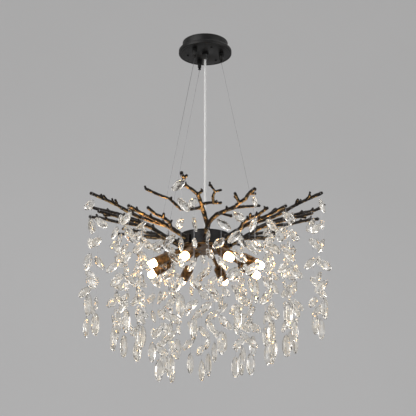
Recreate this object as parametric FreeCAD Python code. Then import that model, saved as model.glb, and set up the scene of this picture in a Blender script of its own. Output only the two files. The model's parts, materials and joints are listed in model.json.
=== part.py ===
"""Branch chandelier: cast branches on a round hub, eight capsule lamps and hanging crystal strands.

The frame's origin is the middle of the ceiling face, +Z points up, and everything hangs below it.
Lengths are millimetres and angles are degrees, counted anticlockwise from +X seen from above.
A casting is drawn in its own directions: reach (out from the axis), side (anticlockwise across)
and rise (up from the middle of the hub).
"""
import FreeCAD, Part
import math
import os
from dataclasses import dataclass

Vector = FreeCAD.Vector

# ---- Ceiling canopy ----
CANOPY_RADIUS = 56.0           # upper can, against the ceiling
CANOPY_WALL = 1.5
CAN_HEIGHT = 20.0
PLATE_RADIUS = 65.0            # wider dish below the can
PLATE_HEIGHT = 10.0
PLATE_FLOOR = 2.0
CAN_SEAT_WIDTH = 3.0           # lip of the dish that carries the can's edge
BRACKET_RADIUS = 48.0
BRACKET_HOLE_RADIUS = 20.0
BRACKET_THICKNESS = 2.0
SLOT_SPACING = 70.0            # the two ceiling screws
SLOT_LENGTH = 12.0
SLOT_WIDTH = 5.0
POST_CIRCLE_RADIUS = 43.0      # three posts take the canopy screws
POST_RADIUS = 4.0
FIRST_POST_AZIMUTH = 51.5
SCREW_RADIUS = 1.6
SCREW_LENGTH = 14.0
SCREW_HEAD_RADIUS = 3.5
SCREW_HEAD_HEIGHT = 2.2
TERMINAL_LENGTH = 46.0
TERMINAL_WIDTH = 14.0
TERMINAL_HEIGHT = 10.0
TERMINAL_SCREW_RADIUS = 2.0
TERMINAL_SCREW_PITCH = 11.0

# ---- Wire grips, wires and power cord ----
GRIP_COUNT = 3
GRIP_CIRCLE_RADIUS = 40.0
GRIP_AZIMUTHS = (352.0, 231.0, 110.5)
GRIP_BODY_RADIUS = 6.0
GRIP_BODY_HEIGHT = 10.0
GRIP_NECK_RADIUS = 4.5
GRIP_NECK_HEIGHT = 8.0
GRIP_THREAD_RADIUS = 3.6
GRIP_THREAD_HEIGHT = 5.0
PLUNGER_RADIUS = 2.5
PLUNGER_TRAVEL = 2.5
PLUNGER_HEAD_RADIUS = 3.6
PLUNGER_HEAD_HEIGHT = 3.0
PLUNGER_LENGTH = 12.0
WIRE_RADIUS = 0.6
ANCHOR_RADIUS = 3.0
ANCHOR_HEIGHT = 12.0
ANCHOR_REACH = 122.0
ANCHOR_BOSS_RADIUS = 4.2
ANCHOR_BOSS_RISE = 3.4         # flat seat of an anchor, above the line of its limb's top
CORD_RADIUS = 3.0
CORD_TAIL = 11.0               # cord inside the hub, below its top plate
GLAND_RADIUS = 8.0
GLAND_FLANGE = 3.0
GLAND_THREAD_RADIUS = 5.0
GLAND_TAPER = 11.0

# ---- Hub ----
HUB_TOP_DROP = 489.0           # ceiling to the top of the hub
HUB_HEIGHT = 36.0
HUB_RADIUS = 58.0
HUB_WALL = 3.0
HUB_PLATE = 3.0
HUB_POST_INSET = 34.0          # from the hub's side to the middle of a post
HUB_POST_COUNT = 3
FIRST_HUB_POST_AZIMUTH = 2.0

# ---- Branch castings ----
CASTING_COUNT = 8
FIRST_CASTING_AZIMUTH = 272.0
LIMB_SIDES = 6
TWIG_SIDES = 4
KNOT_SWELL = 1.08              # every second section is a little thicker
KNOT_WAIST = 0.95
TIP_FLARE = 1.25
TIP_ROUND = 0.7
PAD_WIDTH = 16.0
PAD_THICKNESS = 5.0
PAD_ABOVE = 8.0
PAD_BELOW = 13.0
ROOT_OFFSET = 2.0              # from the hub's radius to the start of a casting's limbs, in its pad
BOLT_RADIUS = 2.0
BOLT_HEAD_RADIUS = 4.0
BOLT_HEAD_HEIGHT = 3.0
BOLT_BELOW_LIMB = 9.0
BOLT_BITE = 4.0                # length of bolt inside the pad

# ---- Lamps ----
LAMP_COUNT = 8
FIRST_LAMP_AZIMUTH = 294.5     # midway between two castings
LAMP_TILT = 62.0               # lamp axis from straight down
LAMP_FOOT_INSET = 15.0         # from the hub's side to the middle of a lamp's foot
LAMP_SIDES = 8
ARM_RADIUS = 4.0
ARM_LENGTH = 52.0
FOOT_RADIUS = 6.5
FOOT_THICKNESS = 5.0
CUP_RADIUS = 11.5
CUP_WALL = 1.2
CUP_LENGTH = 40.0
CUP_SHOULDER = 4.0
SOCKET_RADIUS = 9.8
SOCKET_LENGTH = 16.0
SOCKET_FLOOR = 4.0
BULB_BASE_RADIUS = 5.0
BULB_RADIUS = 8.5
BULB_GLASS_LENGTH = 38.0
BULB_DOME = 6.0

# ---- Crystal strands ----
CRYSTAL_LENGTH = 38.0
CRYSTAL_WIDTH = 23.0
CRYSTAL_THICKNESS = 13.0
CRYSTAL_HOLE = 0.2             # how far above its middle a leaf hangs, as a share of its length
CRYSTAL_TILT = 50.0            # alternate crystals lean left and right of the wire
CRYSTAL_PITCH = 42.0
FIRST_CRYSTAL = 0.4            # share of the pitch between the hook and the first leaf
DROP_LENGTH = 50.0
DROP_WIDTH = 25.0
DROP_THICKNESS = 14.0
STRAND_WIRE_RADIUS = 0.4
LOWEST_DROP = 825.0            # depth of the strands nearest the axis
LOWEST_AT_RADIUS = 95.0
BOTTOM_SLOPE = 0.6             # how much higher the strands end, for each millimetre outwards
BOTTOM_SCATTER = 9.0           # uneven ends, as hung by hand
INNER_HOOK_REACH = 100.0
FACING_TURN = 137.5            # each strand faces another way than its neighbour
FACING_STEP = 25.0

# ---- Clearances ----
SEAT_GAP = 0.3                 # between pieces that meet but aren't cut to each other's shape
HOOK_GAP = 0.5                 # strand wire below its limb, so that it can sway
RUNNING_GAP = 0.3
HOLE_GAP = 0.2
CUT_MARGIN = 1.0               # how far a cutting tool passes a face that it opens

# ---- Sides of turned pieces, which are drawn with flats ----
LARGE_SIDES = 24
SMALL_SIDES = 8
CORD_SIDES = 8
WIRE_SIDES = 6
STRAND_WIRE_SIDES = 3

UP = Vector(0, 0, 1)
DOWN = Vector(0, 0, -1)
PLATE_BOTTOM = -(CAN_HEIGHT + PLATE_HEIGHT)
HUB_TOP = -HUB_TOP_DROP
HUB_BOTTOM = HUB_TOP - HUB_HEIGHT
HUB_MIDDLE = HUB_TOP - HUB_HEIGHT / 2
DRUM_TURN = FIRST_CASTING_AZIMUTH - 180.0 / LARGE_SIDES
PAD_REACH = HUB_RADIUS * math.cos(math.pi / LARGE_SIDES) + SEAT_GAP
ROOT_REACH = HUB_RADIUS + ROOT_OFFSET
HUB_POST_CIRCLE_RADIUS = HUB_RADIUS - HUB_POST_INSET
LAMP_FOOT_CIRCLE_RADIUS = HUB_RADIUS - LAMP_FOOT_INSET


@dataclass
class Limb:
    """One limb of a casting: its name, radii at root and tip, sides and middle line."""

    name: str
    root: float
    tip: float
    points: tuple
    sides: int = LIMB_SIDES


# Each point is (reach, side, rise). A twig starts on the middle line of the limb that carries it.
TALL_PATTERN = (
    Limb("main_limb", 5.8, 3.4, ((ROOT_REACH, 0, -2), (86, 1, 6), (112, 6, 18), (140, 22, 27), (168, 40, 28),
                                 (195, 56, 27), (215, 66, 31), (232, 79, 36), (250, 84, 42), (271, 95, 45))),
    Limb("main_fork", 3.8, 3.0, ((215, 66, 31), (230, 60, 38), (244, 55, 44)), TWIG_SIDES),
    Limb("main_spur", 3.2, 2.8, ((250, 84, 42), (262, 97, 37)), TWIG_SIDES),
    Limb("main_twig", 3.8, 2.8, ((195, 56, 27), (192, 82, 30), (186, 112, 34)), TWIG_SIDES),
    Limb("main_thorn", 3.6, 2.8, ((150, 28, 27), (151, 54, 20)), TWIG_SIDES),
    Limb("side_limb", 5.2, 3.2, ((98, 3, 11), (125, -6, 34), (150, -14, 50), (175, -21, 62),
                                 (195, -34, 66), (215, -48, 69), (235, -53, 77), (256, -58, 84))),
    Limb("side_fork", 3.2, 2.8, ((235, -53, 77), (250, -46, 80)), TWIG_SIDES),
    Limb("side_twig", 3.6, 2.8, ((215, -48, 69), (236, -68, 66)), TWIG_SIDES),
    Limb("side_knob", 3.4, 3.0, ((175, -21, 62), (187, -12, 66)), TWIG_SIDES),
    Limb("long_limb", 4.2, 3.0, ((138, -10, 43), (150, -34, 36), (160, -58, 32), (177, -71, 40),
                                 (195, -84, 46), (210, -100, 47), (241, -132, 52)), TWIG_SIDES),
    Limb("cross_limb", 3.8, 2.8, ((146, -12, 48), (158, 4, 48), (171, 30, 44)), TWIG_SIDES),
    Limb("cross_twig", 3.4, 2.8, ((163, 13, 47), (185, 11, 54), (196, 15, 62), (212, 5, 71)),
         TWIG_SIDES),
    Limb("cross_tip", 3.0, 2.6, ((196, 15, 62), (207, 28, 62)), TWIG_SIDES),
)
FAN_PATTERN = (
    Limb("side_root", 5.8, 3.2, ((ROOT_REACH, 0, -2), (86, -1, 8), (110, -2, 24), (132, -4, 38),
                                 (152, -5, 47), (199, -7, 63), (234, -8, 72), (258, -4, 78), (276, -10, 86))),
    Limb("main_limb", 4.6, 3.2, ((132, -4, 38), (155, 22, 46), (203, 34, 55), (240, 42, 66), (274, 46, 72))),
    Limb("side_limb", 4.4, 3.0, ((120, -3, 30), (145, -20, 38), (175, -32, 43), (210, -44, 50),
                                 (246, -54, 57))),
    Limb("top_fork", 3.2, 2.8, ((234, -8, 72), (250, 12, 80)), TWIG_SIDES),
    Limb("main_fork", 3.4, 2.8, ((240, 42, 66), (258, 58, 76)), TWIG_SIDES),
    Limb("side_twig", 3.2, 2.8, ((210, -44, 50), (232, -36, 52)), TWIG_SIDES),
    Limb("main_thorn", 3.4, 2.8, ((179, 28, 50), (190, 44, 56)), TWIG_SIDES),
)
SWEPT_PATTERN = (
    Limb("main_limb", 5.8, 3.2, ((ROOT_REACH, 0, -2), (88, 3, 8), (112, 10, 20), (136, 30, 30), (170, 46, 38),
                                 (198, 50, 46), (222, 58, 57), (246, 66, 66), (274, 90, 83))),
    Limb("side_limb", 4.6, 3.0, ((112, 10, 20), (140, 10, 26), (172, 12, 31), (206, 6, 34),
                                 (240, 2, 40))),
    Limb("low_limb", 4.4, 3.0, ((104, 7, 15), (130, -14, 20), (160, -26, 22), (190, -30, 24),
                                (222, -40, 30))),
    Limb("main_fork", 3.4, 2.8, ((222, 58, 57), (236, 50, 66)), TWIG_SIDES),
    Limb("main_spur", 3.2, 2.8, ((246, 66, 66), (262, 60, 72)), TWIG_SIDES),
    Limb("main_twig", 3.8, 2.8, ((136, 30, 30), (150, 52, 46), (160, 64, 62)), TWIG_SIDES),
    Limb("side_fork", 3.4, 2.8, ((206, 6, 34), (226, 18, 40)), TWIG_SIDES),
    Limb("low_thorn", 3.4, 2.8, ((160, -26, 22), (174, -40, 26)), TWIG_SIDES),
)


@dataclass
class Casting:
    """One branch casting on the hub, with the reaches at which its strands hang."""

    number: int
    pattern: tuple
    hand: int
    lift: float
    main_hooks: tuple
    side_hooks: tuple

    @property
    def azimuth(self):
        """Direction of the casting's middle line."""
        return FIRST_CASTING_AZIMUTH + (self.number - 1) * 360.0 / CASTING_COUNT

    def place(self, point):
        """Turn a (reach, side, rise) point into a point of the chandelier."""
        reach, side, rise = point
        return at_azimuth(self.azimuth, reach, side * self.hand, HUB_MIDDLE + rise * self.lift)


def at_azimuth(azimuth, reach, side, height):
    """Point at a reach along an azimuth, a distance to its left and a height."""
    angle = math.radians(azimuth)
    return Vector(reach * math.cos(angle) - side * math.sin(angle),
                  reach * math.sin(angle) + side * math.cos(angle), height)


CASTINGS = (
    Casting(1, TALL_PATTERN, 1, 1.0, (152, 205, 268), (187, 252)),
    Casting(2, SWEPT_PATTERN, 1, 1.0, (162, 212, 270), (186, 238)),
    Casting(3, FAN_PATTERN, 1, 1.0, (152, 208, 271), (180, 243)),
    Casting(4, FAN_PATTERN, 1, 0.95, (152, 208, 271), (180, 243)),
    Casting(5, TALL_PATTERN, 1, 1.0, (152, 205, 268), (187, 252)),
    Casting(6, FAN_PATTERN, -1, 0.95, (152, 208, 271), (180, 243)),
    Casting(7, FAN_PATTERN, -1, 1.0, (152, 208, 271), (180, 243)),
    Casting(8, SWEPT_PATTERN, -1, 0.92, (162, 212, 270), (186, 238)),
)
ANCHOR_CASTING_NUMBERS = (3, 8, 6)    # one for each wire grip, in the same order


# ---- Flat-faced solids ----
def closed_solid(polygons):
    """Solid bounded by flat polygons, with its faces pointing outwards."""
    faces = [Part.Face(Part.makePolygon(list(polygon) + [polygon[0]])) for polygon in polygons]
    shell = Part.makeShell(faces)
    shell.sewShape()
    solid = Part.makeSolid(shell)
    if solid.Volume < 0:
        solid.reverse()
    return solid


def ring(centre, axis, towards, radius, sides):
    """Corners of a regular polygon round an axis; the first corner lies towards a direction."""
    across = axis.cross(towards)
    corners = []
    for index in range(sides):
        angle = 2 * math.pi * index / sides
        corners.append(centre + towards * (radius * math.cos(angle)) + across * (radius * math.sin(angle)))
    return corners


def square_to(axis, direction):
    """Unit vector square to an axis and as near as possible to a direction."""
    part = direction - axis * direction.dot(axis)
    part.normalize()
    return part


def band(first, second):
    """Quadrilaterals between two rings of equal sides."""
    count = len(first)
    quads = []
    for index in range(count):
        after = (index + 1) % count
        quads.append([first[index], first[after], second[after], second[index]])
    return quads


def in_triangles(quads):
    """Each quadrilateral as two triangles, for rings that aren't parallel."""
    triangles = []
    for a, b, c, d in quads:
        triangles.append([a, b, c])
        triangles.append([a, c, d])
    return triangles


def turned(profile, base, axis, sides, hollow=False, turn=0.0):
    """Turned piece with flats, from (height along axis, radius) corners.

    A hollow profile is a closed loop; any other ends in a flat cap at each end.
    """
    start = square_to(axis, Vector(1, 0, 0) if abs(axis.x) < 0.9 else UP)
    if turn:
        start = FreeCAD.Rotation(axis, turn).multVec(start)
    rings = [ring(base + axis * height, axis, start, radius, sides) for height, radius in profile]
    polygons = []
    for first, second in zip(rings, rings[1:]):
        polygons += band(first, second)
    if hollow:
        polygons += band(rings[-1], rings[0])
    else:
        polygons += [rings[0][::-1], rings[-1]]
    return closed_solid(polygons)


def rod(start, end, radius, sides):
    """Straight rod between two points."""
    axis = end - start
    length = axis.Length
    axis.normalize()
    return turned([(0, radius), (length, radius)], start, axis, sides)


def upright(profile, x, y, sides, hollow=False, turn=0.0):
    """Turned piece on a vertical axis, its profile heights given from the ceiling."""
    return turned(profile, Vector(x, y, 0), UP, sides, hollow, turn)


def export(name, shapes):
    """Write a node as one solid or as a group of separate solids."""
    solids = []
    for shape in shapes:
        solids += shape.Solids
    group = solids[0] if len(solids) == 1 else Part.makeCompound(solids)
    group.exportStep("parts/" + name + ".step")


# ---- Canopy ----
def grip_places():
    """Centres of the three wire grips, at the height of the canopy's underside."""
    return [at_azimuth(azimuth, GRIP_CIRCLE_RADIUS, 0, PLATE_BOTTOM) for azimuth in GRIP_AZIMUTHS]


def post_places():
    """Centres of the three canopy posts, at the height of the canopy's underside."""
    return [at_azimuth(FIRST_POST_AZIMUTH + index * 360.0 / GRIP_COUNT, POST_CIRCLE_RADIUS, 0, PLATE_BOTTOM)
            for index in range(GRIP_COUNT)]


def straight_post(place, bottom, top, radius):
    """Upright rod of one thickness, for a post, a screw or its hole."""
    return upright([(bottom, radius), (top, radius)], place.x, place.y, SMALL_SIDES)


def ceiling_slot(middle):
    """Round-ended slot through the bracket for one ceiling screw."""
    half = (SLOT_LENGTH - SLOT_WIDTH) / 2
    radius = SLOT_WIDTH / 2
    depth = BRACKET_THICKNESS * 3
    top = BRACKET_THICKNESS
    slot = Part.makeBox(SLOT_WIDTH, 2 * half, depth, Vector(-radius, middle - half, top - depth))
    for end in (middle - half, middle + half):
        slot = slot.fuse(Part.makeCylinder(radius, depth, Vector(0, end, top - depth)))
    return slot.removeSplitter()


def build_ceiling_bracket():
    """Ring plate with two slots for ceiling screws and three posts for the canopy screws."""
    plate = upright([(0, BRACKET_RADIUS), (-BRACKET_THICKNESS, BRACKET_RADIUS),
                     (-BRACKET_THICKNESS, BRACKET_HOLE_RADIUS), (0, BRACKET_HOLE_RADIUS)],
                    0, 0, LARGE_SIDES, hollow=True)
    for side in (-1, 1):
        plate = plate.cut(ceiling_slot(side * SLOT_SPACING / 2))
    foot = PLATE_BOTTOM + PLATE_FLOOR
    for place in post_places():
        post = straight_post(place, foot, -BRACKET_THICKNESS / 2, POST_RADIUS)
        hole = straight_post(place, foot - CUT_MARGIN, foot + SCREW_LENGTH, SCREW_RADIUS + HOLE_GAP / 2)
        plate = plate.fuse(post).cut(hole)
    return plate.removeSplitter()


def build_canopy_base():
    """Upper can, open at both ends."""
    inner = CANOPY_RADIUS - CANOPY_WALL
    return upright([(0, CANOPY_RADIUS), (-CAN_HEIGHT, CANOPY_RADIUS), (-CAN_HEIGHT, inner), (0, inner)],
                   0, 0, LARGE_SIDES, hollow=True)


def build_canopy_plate():
    """Shallow dish below the can, with holes for the gland, the grips and the screws."""
    inner = PLATE_RADIUS - CANOPY_WALL
    lip = CANOPY_RADIUS - CAN_SEAT_WIDTH
    dish = upright([(PLATE_BOTTOM, PLATE_RADIUS), (-CAN_HEIGHT, PLATE_RADIUS), (-CAN_HEIGHT, lip),
                    (-CAN_HEIGHT - CANOPY_WALL, lip), (-CAN_HEIGHT - CANOPY_WALL, inner),
                    (PLATE_BOTTOM + PLATE_FLOOR, inner)], 0, 0, LARGE_SIDES)
    holes = [(Vector(0, 0, 0), GLAND_THREAD_RADIUS)]
    holes += [(place, GRIP_THREAD_RADIUS) for place in grip_places()]
    holes += [(place, SCREW_RADIUS) for place in post_places()]
    for place, radius in holes:
        top = PLATE_BOTTOM + PLATE_FLOOR + CUT_MARGIN
        dish = dish.cut(straight_post(place, PLATE_BOTTOM - CUT_MARGIN, top, radius + HOLE_GAP))
    return dish.removeSplitter()


def domed_screw(place, seat):
    """Domed screw driven upwards, its head against a surface at the seat's height."""
    return upright([(seat - SCREW_HEAD_HEIGHT, SCREW_HEAD_RADIUS * 0.6),
                    (seat - SCREW_HEAD_HEIGHT / 2, SCREW_HEAD_RADIUS), (seat, SCREW_HEAD_RADIUS),
                    (seat, SCREW_RADIUS), (seat + SCREW_LENGTH, SCREW_RADIUS)], place.x, place.y, SMALL_SIDES)


def build_canopy_screws():
    """Three domed screws from below the canopy into the bracket's posts."""
    return [domed_screw(place, PLATE_BOTTOM) for place in post_places()]


def build_grip_barrels():
    """Three stepped barrels that hold the suspension wires, threaded through the canopy."""
    bore = PLUNGER_RADIUS + RUNNING_GAP
    step = PLATE_BOTTOM - GRIP_BODY_HEIGHT
    mouth = step - GRIP_NECK_HEIGHT
    top = PLATE_BOTTOM + GRIP_THREAD_HEIGHT
    profile = [(top, GRIP_THREAD_RADIUS), (PLATE_BOTTOM, GRIP_THREAD_RADIUS),
               (PLATE_BOTTOM, GRIP_BODY_RADIUS), (step, GRIP_BODY_RADIUS), (step, GRIP_NECK_RADIUS),
               (mouth, GRIP_NECK_RADIUS), (mouth, bore), (top, bore)]
    return [upright(profile, place.x, place.y, SMALL_SIDES, hollow=True) for place in grip_places()]


def plunger_tip():
    """Height of the lower end of a released plunger."""
    mouth = PLATE_BOTTOM - GRIP_BODY_HEIGHT - GRIP_NECK_HEIGHT
    return mouth - PLUNGER_TRAVEL - RUNNING_GAP - PLUNGER_HEAD_HEIGHT


def build_grip_plunger(place):
    """Release plunger of one grip: a pin with a wider head to press."""
    tip = plunger_tip()
    head = tip + PLUNGER_HEAD_HEIGHT
    return upright([(tip, PLUNGER_HEAD_RADIUS), (head, PLUNGER_HEAD_RADIUS), (head, PLUNGER_RADIUS),
                    (head + PLUNGER_LENGTH, PLUNGER_RADIUS)], place.x, place.y, SMALL_SIDES)


def build_canopy_gland():
    """Tapered gland that lets the power cord out of the canopy."""
    bore = CORD_RADIUS + RUNNING_GAP
    top = PLATE_BOTTOM + PLATE_FLOOR * 2
    flange = PLATE_BOTTOM - GLAND_FLANGE
    profile = [(top, GLAND_THREAD_RADIUS), (PLATE_BOTTOM, GLAND_THREAD_RADIUS),
               (PLATE_BOTTOM, GLAND_RADIUS), (flange, GLAND_RADIUS),
               (flange - GLAND_TAPER, GLAND_THREAD_RADIUS), (flange - GLAND_TAPER, bore), (top, bore)]
    return upright(profile, 0, 0, CORD_SIDES, hollow=True)


def build_terminal_block():
    """Terminal strip that bridges the bracket's hole, with its screw towers."""
    top = -BRACKET_THICKNESS
    block = Part.makeBox(TERMINAL_LENGTH, TERMINAL_WIDTH, TERMINAL_HEIGHT,
                         Vector(-TERMINAL_LENGTH / 2, -TERMINAL_WIDTH / 2, top - TERMINAL_HEIGHT))
    for index in (-1, 0, 1):
        place = Vector(index * TERMINAL_SCREW_PITCH, 0, 0)
        hole = straight_post(place, top - TERMINAL_HEIGHT / 2, top + CUT_MARGIN, TERMINAL_SCREW_RADIUS)
        block = block.cut(hole)
    return block


# ---- Hub ----
def build_hub_drum():
    """Side wall of the hub, drilled for the casting bolts."""
    top = HUB_TOP - HUB_PLATE
    bottom = HUB_BOTTOM + HUB_PLATE
    inner = HUB_RADIUS - HUB_WALL
    drum = upright([(top, HUB_RADIUS), (bottom, HUB_RADIUS), (bottom, inner), (top, inner)],
                   0, 0, LARGE_SIDES, hollow=True, turn=DRUM_TURN)
    for casting in CASTINGS:
        drum = drum.cut(bolt_rod(casting, BOLT_RADIUS + HOLE_GAP, inner - HUB_WALL, HUB_RADIUS + HUB_WALL))
    return drum.removeSplitter()


def bolt_rod(casting, radius, start, end):
    """Rod along a casting's bolt axis between two reaches."""
    height = HUB_MIDDLE - BOLT_BELOW_LIMB
    return rod(at_azimuth(casting.azimuth, start, 0, height), at_azimuth(casting.azimuth, end, 0, height),
               radius, WIRE_SIDES)


def hub_post_places():
    """Centres of the posts that tie the hub's two plates."""
    return [at_azimuth(FIRST_HUB_POST_AZIMUTH + index * 360.0 / HUB_POST_COUNT, HUB_POST_CIRCLE_RADIUS, 0, 0)
            for index in range(HUB_POST_COUNT)]


def build_hub_plate(bottom, hole_radius):
    """Round plate of the hub, with a middle hole for the gland or with screw holes."""
    plate = upright([(bottom, HUB_RADIUS), (bottom + HUB_PLATE, HUB_RADIUS)],
                    0, 0, LARGE_SIDES, turn=DRUM_TURN)
    if hole_radius:
        places = [(Vector(0, 0, 0), hole_radius)]
    else:
        places = [(place, SCREW_RADIUS) for place in hub_post_places()]
    for place, radius in places:
        hole = straight_post(place, bottom - CUT_MARGIN, bottom + HUB_PLATE + CUT_MARGIN, radius + HOLE_GAP)
        plate = plate.cut(hole)
    return plate.removeSplitter()


def build_hub_posts():
    """Posts inside the hub, drilled for the screws of the bottom plate."""
    top = HUB_TOP - HUB_PLATE
    bottom = HUB_BOTTOM + HUB_PLATE
    posts = []
    for place in hub_post_places():
        post = straight_post(place, bottom, top, POST_RADIUS)
        hole = straight_post(place, bottom - CUT_MARGIN, bottom + SCREW_LENGTH, SCREW_RADIUS + HOLE_GAP / 2)
        posts.append(post.cut(hole))
    return posts


def build_hub_screws():
    """Domed screws that hold the hub's bottom plate."""
    return [domed_screw(place, HUB_BOTTOM) for place in hub_post_places()]


def build_hub_gland():
    """Cord gland on top of the hub, the canopy's gland turned over."""
    bore = CORD_RADIUS + RUNNING_GAP
    neck = HUB_TOP - HUB_PLATE * 2
    flange = HUB_TOP + GLAND_FLANGE
    return upright([(neck, GLAND_THREAD_RADIUS), (HUB_TOP, GLAND_THREAD_RADIUS), (HUB_TOP, GLAND_RADIUS),
                    (flange, GLAND_RADIUS), (flange + GLAND_TAPER, GLAND_THREAD_RADIUS),
                    (flange + GLAND_TAPER, bore), (neck, bore)], 0, 0, CORD_SIDES, hollow=True)


def build_power_cord():
    """Clear power cord, straight from the terminal block into the hub."""
    top = -BRACKET_THICKNESS - TERMINAL_HEIGHT - SEAT_GAP
    return upright([(HUB_TOP - CORD_TAIL, CORD_RADIUS), (top, CORD_RADIUS)], 0, 0, CORD_SIDES)


# ---- Branch castings ----
def limb_rings(casting, limb):
    """Sections of a limb; the first corner of each section is its lowest."""
    points = [casting.place(point) for point in limb.points]
    reached = [0.0]
    for first, second in zip(points, points[1:]):
        reached.append(reached[-1] + (second - first).Length)
    rings = []
    for index, point in enumerate(points):
        before = points[max(index - 1, 0)]
        after = points[min(index + 1, len(points) - 1)]
        axis = after - before
        axis.normalize()
        share = reached[index] / reached[-1]
        radius = limb.root + (limb.tip - limb.root) * share
        if index == len(points) - 1:
            radius = limb.tip * TIP_FLARE
        elif index:
            radius *= KNOT_SWELL if index % 2 else KNOT_WAIST
        rings.append(ring(point, axis, square_to(axis, DOWN), radius, limb.sides))
    return rings


def build_limb(casting, limb):
    """Tapering limb skinned over its sections, with a blunt rounded tip."""
    rings = limb_rings(casting, limb)
    polygons = [rings[0][::-1]]
    for first, second in zip(rings, rings[1:]):
        polygons += in_triangles(band(first, second))
    last, earlier = casting.place(limb.points[-1]), casting.place(limb.points[-2])
    onward = last - earlier
    onward.normalize()
    peak = last + onward * (limb.tip * TIP_ROUND)
    for index in range(limb.sides):
        polygons.append([rings[-1][index], rings[-1][(index + 1) % limb.sides], peak])
    return closed_solid(polygons)


def build_branch(casting):
    """One casting: the root pad on the hub's wall with all its limbs, drilled for its bolt.

    Three of the castings also carry a boss with a flat top for a wire anchor.
    """
    pad = Part.makeBox(PAD_THICKNESS, PAD_WIDTH, PAD_ABOVE + PAD_BELOW,
                       Vector(PAD_REACH, -PAD_WIDTH / 2, HUB_MIDDLE - PAD_BELOW))
    hub_side = Part.makeBox(PAD_REACH, PAD_WIDTH * 2, HUB_HEIGHT * 2,
                            Vector(0, -PAD_WIDTH, HUB_MIDDLE - HUB_HEIGHT))
    for block in (pad, hub_side):
        block.rotate(Vector(0, 0, 0), UP, casting.azimuth)
    pieces = [build_limb(casting, limb) for limb in casting.pattern]
    if casting.number in ANCHOR_CASTING_NUMBERS:
        pieces.append(turned([(-ANCHOR_BOSS_RISE * 2, ANCHOR_BOSS_RADIUS), (0, ANCHOR_BOSS_RADIUS)],
                             anchor_foot(casting), UP, SMALL_SIDES))
    body = pad.multiFuse(pieces).cut(hub_side)
    hole = bolt_rod(casting, BOLT_RADIUS + HOLE_GAP, PAD_REACH - CUT_MARGIN, PAD_REACH + BOLT_BITE)
    return body.cut(hole).removeSplitter()


def build_branch_bolt(casting):
    """Hexagon bolt from inside the hub's wall into a casting's pad."""
    inner = (HUB_RADIUS - HUB_WALL) * math.cos(math.pi / LARGE_SIDES) - SEAT_GAP
    head = bolt_rod(casting, BOLT_HEAD_RADIUS, inner - BOLT_HEAD_HEIGHT, inner)
    outer = PAD_REACH + BOLT_BITE - HOLE_GAP
    return head.fuse(bolt_rod(casting, BOLT_RADIUS, inner - BOLT_HEAD_HEIGHT / 2, outer))


def limb_named(casting, name):
    """The limb of a casting's pattern with a given name."""
    return next(limb for limb in casting.pattern if limb.name == name)


def on_limb(casting, name, reach, corner):
    """Point on one corner line of a limb at a reach along the casting's middle line."""
    limb = limb_named(casting, name)
    rings = limb_rings(casting, limb)
    for index in range(len(rings) - 1):
        start, end = limb.points[index][0], limb.points[index + 1][0]
        if start <= reach <= end:
            share = (reach - start) / (end - start)
            return rings[index][corner] * (1 - share) + rings[index + 1][corner] * share
    raise ValueError(f"{name} doesn't reach {reach}")


# ---- Suspension ----
def anchor_foot(casting):
    """Where a casting's wire anchor stands, on the flat top of its boss."""
    return on_limb(casting, casting.pattern[0].name, ANCHOR_REACH, LIMB_SIDES // 2) + UP * ANCHOR_BOSS_RISE


def build_wire_anchor(foot):
    """Turned anchor with a domed top that a suspension wire runs into."""
    profile = [(0, ANCHOR_RADIUS), (ANCHOR_HEIGHT * 0.7, ANCHOR_RADIUS), (ANCHOR_HEIGHT, WIRE_RADIUS * 2)]
    return turned(profile, foot, UP, SMALL_SIDES)


def build_suspension_wire(grip, foot):
    """Straight steel wire from a grip's plunger down to its anchor."""
    top = Vector(grip.x, grip.y, plunger_tip() - SEAT_GAP)
    return rod(foot + UP * (ANCHOR_HEIGHT + SEAT_GAP), top, WIRE_RADIUS, WIRE_SIDES)


# ---- Lamps ----
@dataclass
class Lamp:
    """One lamp: where it starts under the hub and the direction that it points."""

    number: int

    @property
    def azimuth(self):
        """Direction of the lamp seen from above."""
        return FIRST_LAMP_AZIMUTH + (self.number - 1) * 360.0 / LAMP_COUNT

    @property
    def foot(self):
        """Point where the lamp's axis leaves the hub's bottom plate."""
        return at_azimuth(self.azimuth, LAMP_FOOT_CIRCLE_RADIUS, 0, HUB_BOTTOM)

    @property
    def axis(self):
        """Unit vector along the lamp, outwards and down."""
        tilt = math.radians(LAMP_TILT)
        return at_azimuth(self.azimuth, math.sin(tilt), 0, -math.cos(tilt))

    def turned(self, profile):
        """Turned piece on the lamp's axis."""
        return turned(profile, self.foot, self.axis, LAMP_SIDES)


def build_lamp_arm(lamp):
    """Tilted arm that widens to a foot cut flat against the hub's bottom plate."""
    arm = lamp.turned([(-2 * FOOT_RADIUS, FOOT_RADIUS), (FOOT_THICKNESS, FOOT_RADIUS),
                       (ARM_LENGTH, ARM_RADIUS)])
    above = Part.makeBox(6 * FOOT_RADIUS, 6 * FOOT_RADIUS, 6 * FOOT_RADIUS,
                         lamp.foot - Vector(3 * FOOT_RADIUS, 3 * FOOT_RADIUS, 0))
    return arm.cut(above)


def build_lamp_cup(lamp):
    """Thin-walled cup, closed at the arm and open at its mouth."""
    mouth = ARM_LENGTH + CUP_LENGTH
    inner = CUP_RADIUS - CUP_WALL
    return lamp.turned([(ARM_LENGTH, ARM_RADIUS * 1.4), (ARM_LENGTH + CUP_SHOULDER, CUP_RADIUS),
                        (mouth, CUP_RADIUS), (mouth, inner), (ARM_LENGTH + CUP_SHOULDER + CUP_WALL, inner)])


def socket_start():
    """Distance along the lamp to the back of its socket, which sits on the cup's floor."""
    return ARM_LENGTH + CUP_SHOULDER + CUP_WALL


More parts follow.
